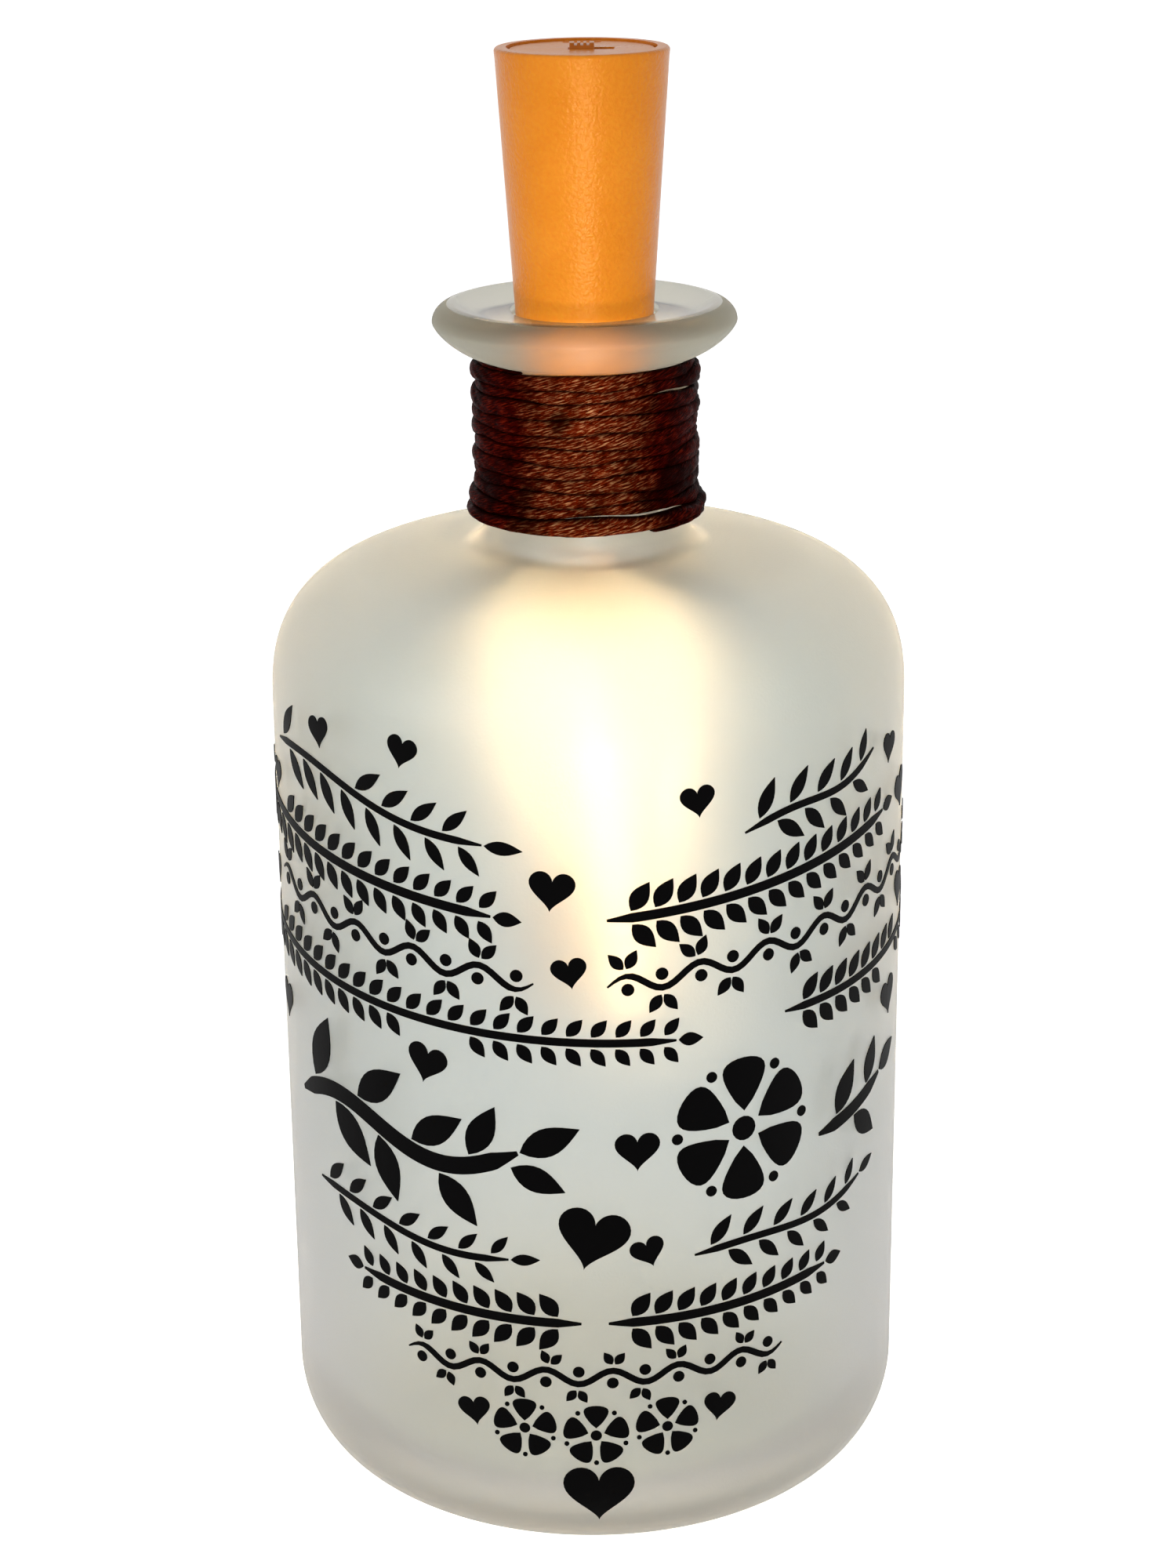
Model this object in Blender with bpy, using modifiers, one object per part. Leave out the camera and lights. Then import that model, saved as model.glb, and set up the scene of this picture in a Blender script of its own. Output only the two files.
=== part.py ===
"""LED bottle light: a frosted apothecary bottle with a cork-shaped battery light in its mouth.

Metres, +Z up. The origin is the centre of the flat ring that the bottle stands on, and -Y is the front.
"""

import math

import bmesh
import bpy
from mathutils import Matrix, Vector

# Fits
rest_gap = 0.0003
slip_gap = 0.0001
cut_overrun = 0.001
merge_distance = 0.000001

# Bottle, pressed glass
body_radius = 0.0435
body_straight_top = 0.1127
shoulder_rise = 0.021
shoulder_power = 2.65
neck_height = 0.0327
neck_wall = 0.005
neck_fillet = 0.0035
glass_wall = 0.0028
base_thickness = 0.005
base_corner_run = 0.0104
base_corner_rise = 0.0124
push_up_radius = 0.022
push_up_depth = 0.0014
push_up_share = 0.75
inner_neck_round = 0.002
lip_overhang = 0.00665
lip_height = 0.007
lip_round_run = 0.003
lip_round_rise = 0.0025
lip_foot_step = 0.0006
lip_slope_power = 1.4
mouth_dish_depth = 0.0011
mouth_dish_width = 0.001
mouth_round = 0.0008
bottle_sides = 48

# Cork-shaped shell of the light
cork_length = 0.047
cork_proud = 0.0331
cork_top_radius = 0.01145
cork_bottom_radius = 0.0084
cork_edge_round = 0.0005
cork_wall = 0.0016
cork_floor = 0.0016
shell_ledge_share = 0.26
shell_ledge_width = 0.0013
cork_sides = 32

# Neck cord, waxed, in one winding
neck_cord_diameter = 0.0015
neck_cord_clearance = 0.00015
neck_cord_pitch = 0.00195
neck_cord_spread = 0.0007
neck_cord_spread_turns = 2
neck_cord_loop_points = 24

# Battery carrier, pulled out of the shell for new cells
cap_sink = 0.0003
cap_thickness = 0.0028
cradle_wall = 0.001
cradle_floor = 0.0014
nail_notch_length = 0.005
nail_notch_width = 0.0012
nail_notch_depth = 0.0011
nail_notch_inset = 0.0012
carrier_sides = 32

# Switch in the cap
knob_length = 0.0032
knob_width = 0.0022
knob_proud = 0.0008
knob_rib_width = 0.0004
knob_rib_depth = 0.0003
knob_groove_shares = (-0.25, 0, 0.25)
knob_flange_length = 0.0056
knob_flange_width = 0.0042
knob_flange_thickness = 0.0008
switch_travel = 0.0025
switch_room = 0.0028
wiper_length = 0.0034
wiper_width = 0.0016
switch_plate_thickness = 0.0008

# Button cells and what carries their current
cell_diameter = 0.0116
cell_height = 0.0054
cell_edge_round = 0.0005
cell_count = 3
cell_sides = 32
top_contact_radius = 0.0035
contact_thickness = 0.0003
spring_height = 0.0026
spring_turns = 3
spring_wire_diameter = 0.0004
spring_bottom_radius = 0.0038
spring_top_radius = 0.0024
spring_loop_points = 10
rivet_gap = 0.0002
rivet_head_radius = 0.0016
rivet_head_thickness = 0.0004
rivet_shank_radius = 0.0008
strip_width = 0.002
strip_foot_length = 0.0017
centre_pin_radius = 0.0007
centre_pin_collar_radius = 0.0013
centre_pin_collar_height = 0.0012
small_sides = 16

# Terminal board in the shell, its resistor and its leads
board_thickness = 0.001
resistor_radius = 0.0008
resistor_length = 0.0034
resistor_cap_length = 0.0006
resistor_waist_share = 0.8
lead_diameter = 0.0006
lead_spread = 0.0032
lead_seal_spread = 0.0006
seal_radius = 0.0022
seal_height = 0.0022
seal_flange_radius = 0.0031
seal_flange_height = 0.0008

# Light string, two enamelled copper wires side by side, with its LEDs
string_diameter = 0.0007
string_drop = 0.0133
string_drop_shares = (0, 0.2, 0.4, 0.6, 0.8, 1)
string_open_drop = 0.0115
string_open_turns = 1.5
string_spiral_radius = 0.0079
string_spiral_pitch = 0.0031
string_spiral_turns = 20.2
string_loop_points = 16
led_count = 10
led_lead_in = 0.127
led_spacing = 0.1
led_length = 0.0036
led_radius = 0.0011
led_bow = 0.0003
led_around = 8
led_along = 6

# Cut vinyl hearts on the front
vinyl_thickness = 0.0002
heart_points = 20
small_heart = 0.0047
middle_heart = 0.006
large_heart = 0.0097
# Each heart: degrees round from the front, share of the straight wall's height, width, lean in degrees
hearts = (
    (-54.3, 1.018, small_heart, 8),
    (-33.4, 1.024, small_heart, -10),
    (18.3, 0.977, small_heart, 6),
    (66.8, 0.968, small_heart, -8),
    (-76.2, 0.924, small_heart, 0),
    (75.5, 0.897, middle_heart, 12),
    (-6.6, 0.877, middle_heart, -6),
    (-81.2, 0.79, small_heart, 10),
    (-3.7, 0.778, small_heart, 9),
    (-30.0, 0.646, middle_heart, -12),
    (-75.4, 0.631, middle_heart, 0),
    (69.3, 0.642, middle_heart, 8),
    (76.5, 0.767, middle_heart, -6),
    (7.6, 0.553, middle_heart, 0),
    (-0.5, 0.441, large_heart, -14),
    (9.5, 0.422, small_heart, 18),
    (-22.1, 0.201, small_heart, 10),
    (22.5, 0.203, small_heart, -10),
    (0.4, 0.099, large_heart, 0),
)


def clear_scene():
    """Removes every object, so that the model starts from an empty scene."""
    for item in list(bpy.data.objects):
        bpy.data.objects.remove(item, do_unlink=True)


def new_collection(name):
    """A collection linked to the scene."""
    made = bpy.data.collections.new(name)
    bpy.context.scene.collection.children.link(made)
    return made


def new_material(name, colour, roughness, metallic=0.0, transmission=0.0, glow=0.0):
    """A Principled material with one plain finish."""
    material = bpy.data.materials.new(name)
    material.use_nodes = True
    shader = material.node_tree.nodes["Principled BSDF"]
    shader.inputs["Base Color"].default_value = (*colour, 1)
    shader.inputs["Roughness"].default_value = roughness
    shader.inputs["Metallic"].default_value = metallic
    shader.inputs["Transmission Weight"].default_value = transmission
    shader.inputs["Emission Color"].default_value = (*colour, 1)
    shader.inputs["Emission Strength"].default_value = glow
    material.diffuse_color = (*colour, 1)
    return material


clear_scene()
bottle_parts = new_collection("led_bottle_light")
cutters = new_collection("cutters")

frosted_glass = new_material("frosted_glass", (0.62, 0.64, 0.57), 0.55, transmission=0.6)
waxed_cord = new_material("waxed_cord", (0.10, 0.014, 0.004), 0.5)
orange_plastic = new_material("orange_plastic", (0.76, 0.25, 0.02), 0.42)
knob_plastic = new_material("knob_plastic", (0.58, 0.18, 0.015), 0.4)
circuit_board = new_material("circuit_board", (0.03, 0.16, 0.06), 0.5)
cell_steel = new_material("cell_steel", (0.62, 0.61, 0.58), 0.28, 1.0)
contact_brass = new_material("contact_brass", (0.75, 0.52, 0.2), 0.3, 1.0)
spring_steel = new_material("spring_steel", (0.55, 0.55, 0.55), 0.3, 1.0)
resistor_coat = new_material("resistor_coat", (0.6, 0.45, 0.28), 0.45)
lead_red = new_material("lead_red", (0.5, 0.02, 0.01), 0.4)
lead_black = new_material("lead_black", (0.01, 0.01, 0.01), 0.4)
seal_rubber = new_material("seal_rubber", (0.05, 0.05, 0.05), 0.7)
copper_enamel = new_material("copper_enamel", (0.72, 0.3, 0.14), 0.3, 1.0)
led_resin = new_material("led_resin", (1.0, 0.72, 0.32), 0.2, glow=6.0)
black_vinyl = new_material("black_vinyl", (0.012, 0.011, 0.012), 0.35)


def world_place(item):
    """Where an empty stands in the world. The chain of empties only shifts and never turns."""
    place = Vector()
    while item:
        place += item.location
        item = item.parent
    return place


def pivot(name, parent, height):
    """An empty on a joint's axis. What moves with the joint is parented to it."""
    made = bpy.data.objects.new(name, None)
    bottle_parts.objects.link(made)
    made.parent = parent
    made.location = Vector((0, 0, height)) - world_place(parent)
    made.empty_display_size = knob_length
    return made


def add_part(name, data, material, parent=None):
    """A named piece of the light. Its mesh or curve comes in world places and is shifted to its pivot."""
    made = bpy.data.objects.new(name, data)
    bottle_parts.objects.link(made)
    data.materials.append(material)
    data.transform(Matrix.Translation(-world_place(parent)))
    made.parent = parent
    return made


def without_repeats(outline):
    """The outline without points that repeat the one before."""
    kept = [outline[0]]
    for point in outline[1:]:
        if math.dist(point, kept[-1]) > merge_distance:
            kept.append(point)
    return kept


def turned(name, outline, material, sides, parent=None, ring=False):
    """A turned piece: an outline of radius and height, swept once round the vertical axis."""
    outline = without_repeats(outline)
    edges = [(i, i + 1) for i in range(len(outline) - 1)]
    if ring:
        edges.append((len(outline) - 1, 0))
    mesh = bpy.data.meshes.new(name)
    mesh.from_pydata([(radius, 0, height) for radius, height in outline], edges, [])
    made = add_part(name, mesh, material, parent)
    screw = made.modifiers.new("Turn", "SCREW")
    screw.axis = "Z"
    screw.steps = sides
    screw.render_steps = sides
    screw.use_merge_vertices = True
    screw.merge_threshold = merge_distance
    screw.use_smooth_shade = True
    return made


def box_mesh(name, low, high):
    """A box between two corners."""
    mesh = bpy.data.meshes.new(name)
    form = bmesh.new()
    bmesh.ops.create_cube(form, size=1)
    bmesh.ops.scale(form, vec=Vector(high) - Vector(low), verts=form.verts)
    bmesh.ops.translate(form, vec=(Vector(high) + Vector(low)) / 2, verts=form.verts)
    form.to_mesh(mesh)
    form.free()
    return mesh


def disc_mesh(name, radius, thickness, middle):
    """A round disc, lying flat."""
    mesh = bpy.data.meshes.new(name)
    form = bmesh.new()
    bmesh.ops.create_cone(
        form, cap_ends=True, segments=small_sides, radius1=radius, radius2=radius, depth=thickness
    )
    bmesh.ops.translate(form, vec=Vector(middle), verts=form.verts)
    form.to_mesh(mesh)
    form.free()
    mesh.shade_smooth()
    mesh.set_sharp_from_angle(angle=math.radians(40))
    return mesh


def boolean(item, name, mesh, operation="DIFFERENCE"):
    """Cuts a mesh, given in world places, out of the piece, or joins it on."""
    tool = bpy.data.objects.new(name, mesh)
    cutters.objects.link(tool)
    mesh.transform(Matrix.Translation(-world_place(item.parent)))
    tool.parent = item.parent
    tool.hide_render = True
    tool.display_type = "WIRE"
    step = item.modifiers.new(name, "BOOLEAN")
    step.operation = operation
    step.solver = "EXACT"
    step.object = tool


def wire(name, points, diameter, material, parent=None):
    """A wire or cord through these points, with closed ends."""
    curve = bpy.data.curves.new(name, "CURVE")
    curve.dimensions = "3D"
    curve.bevel_depth = diameter / 2
    curve.bevel_resolution = 1
    curve.use_fill_caps = True
    line = curve.splines.new("POLY")
    line.points.add(len(points) - 1)
    for place, point in zip(line.points, points):
        place.co = (*point, 1)
    line.use_smooth = True
    return add_part(name, curve, material, parent)


def strip(name, outline, width_way, material, parent):
    """A bent metal strip: its outline's points, drawn out to half its width each way, with a thickness."""
    mesh = bpy.data.meshes.new(name)
    form = bmesh.new()
    half = Vector(width_way) / 2
    rows = [(form.verts.new(Vector(p) - half), form.verts.new(Vector(p) + half)) for p in outline]
    for first, second in zip(rows, rows[1:]):
        form.faces.new((first[0], first[1], second[1], second[0]))
    form.to_mesh(mesh)
    form.free()
    made = add_part(name, mesh, material, parent)
    solid = made.modifiers.new("Thickness", "SOLIDIFY")
    solid.thickness = contact_thickness
    solid.offset = 0
    solid.use_even_offset = True
    return made


def round_points(centre, run, rise, start, end, steps, power=2):
    """Points on a round or squarish arc from one angle to another, in degrees."""
    points = []
    for step in range(steps + 1):
        angle = math.radians(start + (end - start) * step / steps)
        across = math.copysign(abs(math.cos(angle)) ** (2 / power), math.cos(angle))
        upward = math.copysign(abs(math.sin(angle)) ** (2 / power), math.sin(angle))
        points.append((centre[0] + run * across, centre[1] + rise * upward))
    return points


def angle_at_share(share, power):
    """The angle, in degrees, at which a squarish arc has come in to this share of its run."""
    return math.degrees(math.acos(share ** (power / 2)))


def least_gap(points, diameter, loop_points):
    """The least clear gap of a tube to its own other loops."""
    least = math.inf
    for index, point in enumerate(points):
        for other in points[index + loop_points // 2 :]:
            least = min(least, (Vector(point) - Vector(other)).length)
    return least - diameter


# Heights and radii that pieces share
shoulder_top = body_straight_top + shoulder_rise
bottle_height = shoulder_top + neck_height
cork_bottom = bottle_height + cork_proud - cork_length
cork_top = bottle_height + cork_proud
cork_taper = (cork_top_radius - cork_bottom_radius) / cork_length
neck_bore = cork_bottom_radius + rest_gap
neck_radius = neck_bore + neck_wall


def cork_radius_at(height):
    """The shell's outer radius at a height."""
    return cork_bottom_radius + cork_taper * (height - cork_bottom)


def shell_bore_at(height):
    """The shell's inner radius at a height."""
    return cork_radius_at(height) - cork_wall


def bottle_inside():
    """The bottle's inner outline, from the middle of its floor up to the cork."""
    inner_radius = body_radius - glass_wall
    inner_rise = shoulder_rise - glass_wall
    run = inner_radius - neck_bore
    last = angle_at_share(inner_neck_round / run, shoulder_power)
    corner = (inner_radius - base_corner_run, base_thickness + base_corner_rise)
    outline = [(0, base_thickness)]
    outline += round_points(corner, base_corner_run, base_corner_rise, -90, 0, 5)
    outline += round_points((neck_bore, body_straight_top), run, inner_rise, 0, last, 8, shoulder_power)
    edge = (neck_bore + inner_neck_round, outline[-1][1] + inner_neck_round)
    outline += round_points(edge, inner_neck_round, inner_neck_round, 270, 180, 3)
    outline.append((neck_bore, cork_bottom))
    return outline


def bottle_mouth():
    """The bore that the cork sits in, the dished top face and the rolled rim."""
    dish_height = bottle_height - mouth_dish_depth
    bore_top = dish_height - mouth_round
    bore_edge = cork_radius_at(bore_top) + rest_gap + mouth_round
    rim_centre = (neck_radius + lip_overhang - lip_round_run, bottle_height - lip_round_rise)
    outline = round_points((bore_edge, bore_top), mouth_round, mouth_round, 180, 90, 2)
    outline.append((bore_edge + mouth_dish_width, dish_height))
    outline += round_points(rim_centre, lip_round_run, lip_round_rise, 90, 0, 5)
    return outline


def bottle_outside():
    """The bottle's outer outline, from under the rim down to the middle of its foot."""
    slope_foot = (neck_radius + lip_foot_step, bottle_height - lip_round_rise)
    slope_run = lip_overhang - lip_foot_step
    slope_rise = lip_height - lip_round_rise
    outline = round_points(slope_foot, slope_run, slope_rise, 0, -90, 4, lip_slope_power)
    outline.append((neck_radius, bottle_height - lip_height - lip_foot_step))
    run = body_radius - neck_radius
    first = angle_at_share(neck_fillet / run, shoulder_power)
    shoulder = round_points(
        (neck_radius, body_straight_top), run, shoulder_rise, first, 0, 10, shoulder_power
    )
    fillet = (neck_radius + neck_fillet, shoulder[0][1] + neck_fillet)
    outline += round_points(fillet, neck_fillet, neck_fillet, 180, 270, 3)
    outline += shoulder
    corner = (body_radius - base_corner_run, base_corner_rise)
    outline += round_points(corner, base_corner_run, base_corner_rise, 0, -90, 6)
    outline.append((push_up_radius, 0))
    outline.append((push_up_radius * push_up_share, push_up_depth))
    outline.append((0, push_up_depth))
    return outline


def build_bottle():
    """The pressed glass bottle, hollow, with a flat ring to stand on."""
    outline = bottle_inside() + bottle_mouth() + bottle_outside()
    turned("glass_bottle", outline, frosted_glass, bottle_sides)


def neck_cord_route():
    """The winding's path: a steady spiral down the neck that spreads a little at the shoulder."""
    inner = neck_radius + neck_cord_clearance + neck_cord_diameter / 2
    path_radius = inner / math.cos(math.pi / neck_cord_loop_points)
    top = bottle_height - lip_height - neck_cord_clearance - neck_cord_diameter / 2
    bottom = shoulder_top + neck_fillet + neck_cord_diameter
    turns = (top - bottom) / neck_cord_pitch
    steps = int(turns * neck_cord_loop_points)
    points = []
    for step in range(steps + 1):
        turn = step / neck_cord_loop_points
        spread = max(0, 1 - (turns - turn) / neck_cord_spread_turns)
        radius = path_radius + neck_cord_spread * spread ** 2
        angle = 2 * math.pi * turn
        height = top - neck_cord_pitch * turn
        points.append((radius * math.sin(angle), radius * math.cos(angle), height))
    return with_straight_ends(points, neck_cord_diameter)


def with_straight_ends(points, length):
    """The path with a straight run of this length on either end."""
    first, second = Vector(points[0]), Vector(points[1])
    last, before = Vector(points[-1]), Vector(points[-2])
    start = first + (first - second).normalized() * length
    end = last + (last - before).normalized() * length
    return [tuple(start), *points, tuple(end)]


def build_neck_cord():
    """One waxed cord wound round the neck, its ends tucked at the back."""
    route = neck_cord_route()
    wire("neck_cord", route, neck_cord_diameter, waxed_cord)
    gap = least_gap(route, neck_cord_diameter, neck_cord_loop_points)
    print(f"neck_cord: least gap to itself {gap * 1000:.2f} mm")


# Pivots of what moves: the light in the mouth, the carrier in the shell, the knob in the cap
stopper_pivot = pivot("stopper_pivot", None, cork_bottom)
carrier_pivot = pivot("carrier_pivot", stopper_pivot, cork_top)
knob_pivot = pivot("knob_pivot", carrier_pivot, cork_top)


# Heights down the carrier, each piece resting on the next
cap_top = cork_top - cap_sink
cap_bottom = cap_top - cap_thickness
plate_top = cap_bottom - switch_room
plate_bottom = plate_top - switch_plate_thickness
top_contact_top = plate_bottom - slip_gap
top_contact_bottom = top_contact_top - contact_thickness
cells_top = top_contact_bottom - slip_gap
cells_bottom = cells_top - cell_count * cell_height - (cell_count - 1) * slip_gap
spring_top = cells_bottom - slip_gap
cradle_floor_top = spring_top - spring_height - slip_gap
cradle_bottom = cradle_floor_top - cradle_floor
cradle_bore = cell_diameter / 2 + rest_gap
cradle_radius = cradle_bore + cradle_wall

# Heights in the bottom of the shell: the ledge takes its share of the room under the carrier
shell_floor_top = cork_bottom + cork_floor
ledge_top = shell_floor_top + shell_ledge_share * (cradle_bottom - shell_floor_top)
board_bottom = ledge_top + slip_gap
board_top = board_bottom + board_thickness


def build_cork_shell():
    """The tapered shell, open at the top for the carrier and holed at the bottom for the string."""
    edge_centre = (cork_top_radius - cork_edge_round, cork_top - cork_edge_round)
    ledge_bore = shell_bore_at(ledge_top) - shell_ledge_width
    outline = [(shell_bore_at(cork_top), cork_top)]
    outline += round_points(edge_centre, cork_edge_round, cork_edge_round, 90, 0, 3)
    outline += [
        (cork_bottom_radius, cork_bottom),
        (seal_radius + slip_gap, cork_bottom),
        (seal_radius + slip_gap, shell_floor_top),
        (ledge_bore, shell_floor_top),
        (ledge_bore, ledge_top),
        (shell_bore_at(ledge_top), ledge_top),
    ]
    turned("cork_shell", outline, orange_plastic, cork_sides, stopper_pivot, ring=True)


def build_carrier():
    """The carrier: a cap that closes the shell, and a half-round cradle for the cells under it."""
    outline = [
        (0, cap_top),
        (shell_bore_at(cap_top) - rest_gap, cap_top),
        (shell_bore_at(cap_bottom) - rest_gap, cap_bottom),
        (cradle_radius, cap_bottom),
        (cradle_radius, cradle_bottom),
        (rivet_shank_radius + slip_gap, cradle_bottom),
        (rivet_shank_radius + slip_gap, cradle_floor_top),
        (cradle_bore, cradle_floor_top),
        (cradle_bore, cap_bottom),
        (0, cap_bottom),
    ]
    carrier = turned("battery_carrier", outline, orange_plastic, carrier_sides, carrier_pivot)
    reach = cradle_radius + cut_overrun
    mouth = box_mesh("cradle_mouth", (-reach, -reach, cradle_floor_top), (reach, 0, cap_bottom))
    boolean(carrier, "cradle_mouth", mouth)
    half_slot = (knob_length + switch_travel) / 2 + slip_gap
    slot_middle = switch_travel / 2
    low = (slot_middle - half_slot, -knob_width / 2 - slip_gap, cap_bottom - cut_overrun)
    high = (slot_middle + half_slot, knob_width / 2 + slip_gap, cap_top + cut_overrun)
    boolean(carrier, "knob_slot", box_mesh("knob_slot", low, high))
    notch_back = shell_bore_at(cap_top) - rest_gap - nail_notch_inset
    low = (-nail_notch_length / 2, notch_back - nail_notch_width, cap_top - nail_notch_depth)
    high = (nail_notch_length / 2, notch_back, cap_top + cut_overrun)
    boolean(carrier, "nail_notch", box_mesh("nail_notch", low, high))


def build_knob():
    """The slide switch's ribbed knob, held in its slot by a flange under the cap."""
    flange_top = cap_bottom - slip_gap
    flange_bottom = flange_top - knob_flange_thickness
    knob_top = cap_top + knob_proud
    low = (-knob_length / 2, -knob_width / 2, flange_bottom)
    high = (knob_length / 2, knob_width / 2, knob_top)
    knob = add_part("switch_knob", box_mesh("switch_knob", low, high), knob_plastic, knob_pivot)
    half_length = knob_flange_length / 2
    half_width = knob_flange_width / 2
    flange_low = (-half_length, -half_width, flange_bottom)
    flange_high = (half_length, half_width, flange_top)
    boolean(knob, "knob_flange", box_mesh("knob_flange", flange_low, flange_high), "UNION")
    for place_share in knob_groove_shares:
        middle = place_share * knob_length
        low = (middle - knob_rib_width / 2, -knob_width, knob_top - knob_rib_depth)
        high = (middle + knob_rib_width / 2, knob_width, knob_top + cut_overrun)
        boolean(knob, "knob_groove", box_mesh("knob_groove", low, high))
    foot = plate_top + slip_gap + contact_thickness / 2
    top = flange_bottom - slip_gap - contact_thickness / 2
    reach = wiper_length / 2
    outline = [(-reach, 0, top), (0, 0, foot), (reach, 0, top)]
    strip("switch_wiper", outline, (0, wiper_width, 0), contact_brass, knob_pivot)


def build_switch_plate():
    """The small board under the switch, with the top cell contact on its underside."""
    plate_middle = (0, 0, (plate_top + plate_bottom) / 2)
    plate_radius = cradle_bore - slip_gap
    plate = disc_mesh("switch_plate", plate_radius, switch_plate_thickness, plate_middle)
    add_part("switch_plate", plate, circuit_board, carrier_pivot)
    contact_middle = (0, 0, (top_contact_top + top_contact_bottom) / 2)
    contact = disc_mesh("top_contact", top_contact_radius, contact_thickness, contact_middle)
    add_part("top_contact", contact, contact_brass, carrier_pivot)


def build_cells():
    """The stack of button cells, each with its rounded edge."""
    for number in range(cell_count):
        top = cells_top - number * (cell_height + slip_gap)
        bottom = top - cell_height
        radius = cell_diameter / 2
        edge = cell_edge_round
        outline = [(0, top), (radius - edge, top), (radius, top - edge)]
        outline += [(radius, bottom + edge), (radius - edge, bottom), (0, bottom)]
        turned(f"button_cell_{number + 1}", outline, cell_steel, cell_sides, carrier_pivot)


def build_cell_spring():
    """The conical spring that presses the cells up, and the rivet that it stands on."""
    bottom = cradle_floor_top + rivet_gap + spring_wire_diameter / 2
    top = spring_top - spring_wire_diameter / 2
    steps = spring_turns * spring_loop_points
    points = []
    for step in range(steps + 1):
        share = step / steps
        radius = spring_bottom_radius + (spring_top_radius - spring_bottom_radius) * share
        angle = 2 * math.pi * spring_turns * share
        height = bottom + (top - bottom) * share
        points.append((radius * math.cos(angle), radius * math.sin(angle), height))
    wire("cell_spring", points, spring_wire_diameter, spring_steel, carrier_pivot)
    head_top = cradle_floor_top + slip_gap + rivet_head_thickness
    head_bottom = cradle_bottom - slip_gap - rivet_head_thickness
    outline = [
        (0, head_top),
        (rivet_head_radius, head_top),
        (rivet_head_radius, head_top - rivet_head_thickness),
        (rivet_shank_radius, head_top - rivet_head_thickness),
        (rivet_shank_radius, head_bottom + rivet_head_thickness),
        (rivet_head_radius, head_bottom + rivet_head_thickness),
        (rivet_head_radius, head_bottom),
        (0, head_bottom),
    ]
    turned("floor_rivet", outline, contact_brass, small_sides, carrier_pivot)


def build_return_strip():
    """The strip that leads the top contact's current down the cradle's back to its foot."""
    back = cradle_radius + slip_gap + contact_thickness / 2
    foot = cradle_bottom - slip_gap - contact_thickness / 2
    outline = [(0, back, plate_top), (0, back, foot), (0, back - strip_foot_length, foot)]
    strip("return_strip", outline, (strip_width, 0, 0), contact_brass, carrier_pivot)


def build_terminals():
    """The terminal board, and the pin and blade that meet the carrier's rivet and strip."""
    board_radius = shell_bore_at(board_bottom) - rest_gap
    board_middle = (0, 0, (board_top + board_bottom) / 2)
    board = disc_mesh("terminal_board", board_radius, board_thickness, board_middle)
    add_part("terminal_board", board, circuit_board, stopper_pivot)
    pin_bottom = board_top + slip_gap
    pin_top = cradle_bottom - 2 * slip_gap - rivet_head_thickness
    collar_top = pin_bottom + centre_pin_collar_height
    outline = [
        (0, pin_top),
        (centre_pin_radius, pin_top),
        (centre_pin_radius, collar_top),
        (centre_pin_collar_radius, collar_top),
        (centre_pin_collar_radius, pin_bottom),
        (0, pin_bottom),
    ]
    turned("centre_pin", outline, contact_brass, small_sides, stopper_pivot)
    across = cradle_radius + slip_gap + contact_thickness / 2 - strip_foot_length
    blade_top = cradle_bottom - 2 * slip_gap - contact_thickness
    outline = [
        (0, across - strip_foot_length, pin_bottom + contact_thickness / 2),
        (0, across, pin_bottom + contact_thickness / 2),
        (0, across, blade_top),
    ]
    strip("side_blade", outline, (strip_width, 0, 0), contact_brass, stopper_pivot)


def build_resistor():
    """The series resistor under the board, beside the seal: a coated body between two wider caps."""
    radius = resistor_radius
    half = resistor_length / 2
    cap = resistor_cap_length
    outline = [
        (0, half),
        (radius, half),
        (radius, half - cap),
        (radius * resistor_waist_share, half - cap),
        (radius * resistor_waist_share, cap - half),
        (radius, cap - half),
        (radius, -half),
        (0, -half),
    ]
    resistor = turned("series_resistor", outline, resistor_coat, small_sides)
    resistor.parent = stopper_pivot
    resistor.rotation_euler.y = math.pi / 2
    across = seal_flange_radius + rest_gap + radius
    middle = Vector((0, across, board_bottom - slip_gap - radius))
    resistor.location = middle - world_place(stopper_pivot)


def build_seal_and_leads():
    """The seal in the shell's floor, and the two leads from it up to the board."""
    flange_bottom = shell_floor_top + slip_gap
    flange_top = flange_bottom + seal_flange_height
    outline = [
        (0, flange_top),
        (seal_flange_radius, flange_top),
        (seal_flange_radius, flange_bottom),
        (seal_radius, flange_bottom),
        (seal_radius, flange_top - seal_height),
        (0, flange_top - seal_height),
    ]
    turned("string_seal", outline, seal_rubber, small_sides, stopper_pivot)
    for name, side, material in (("lead_red", 1, lead_red), ("lead_black", -1, lead_black)):
        start = Vector((side * lead_seal_spread, 0, flange_top + slip_gap))
        end = Vector((side * lead_spread, 0, board_bottom - slip_gap))
        rise = Vector((0, 0, (end.z - start.z) / 3))
        wire(name, [start, start + rise, end - rise, end], lead_diameter, material, stopper_pivot)


# The string hangs from the seal's lower face
string_top = shell_floor_top + seal_flange_height - seal_height


def string_route():
    """The string's path: straight down from the seal, opening into a spiral of even turns."""
    points = [Vector((0, 0, string_top - share * string_drop)) for share in string_drop_shares]
    open_top = string_top - string_drop
    open_steps = int(string_open_turns * string_loop_points)
    spiral_steps = round(string_spiral_turns * string_loop_points)
    for step in range(1, open_steps + spiral_steps + 1):
        share = min(step / open_steps, 1)
        radius = string_spiral_radius * share * share * (3 - 2 * share)
        drop = string_open_drop * share
        drop += string_spiral_pitch * max(0, step - open_steps) / string_loop_points
        angle = 2 * math.pi * step / string_loop_points
        place = (radius * math.sin(angle), -radius * math.cos(angle), open_top - drop)
        points.append(Vector(place))
    return points


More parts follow.
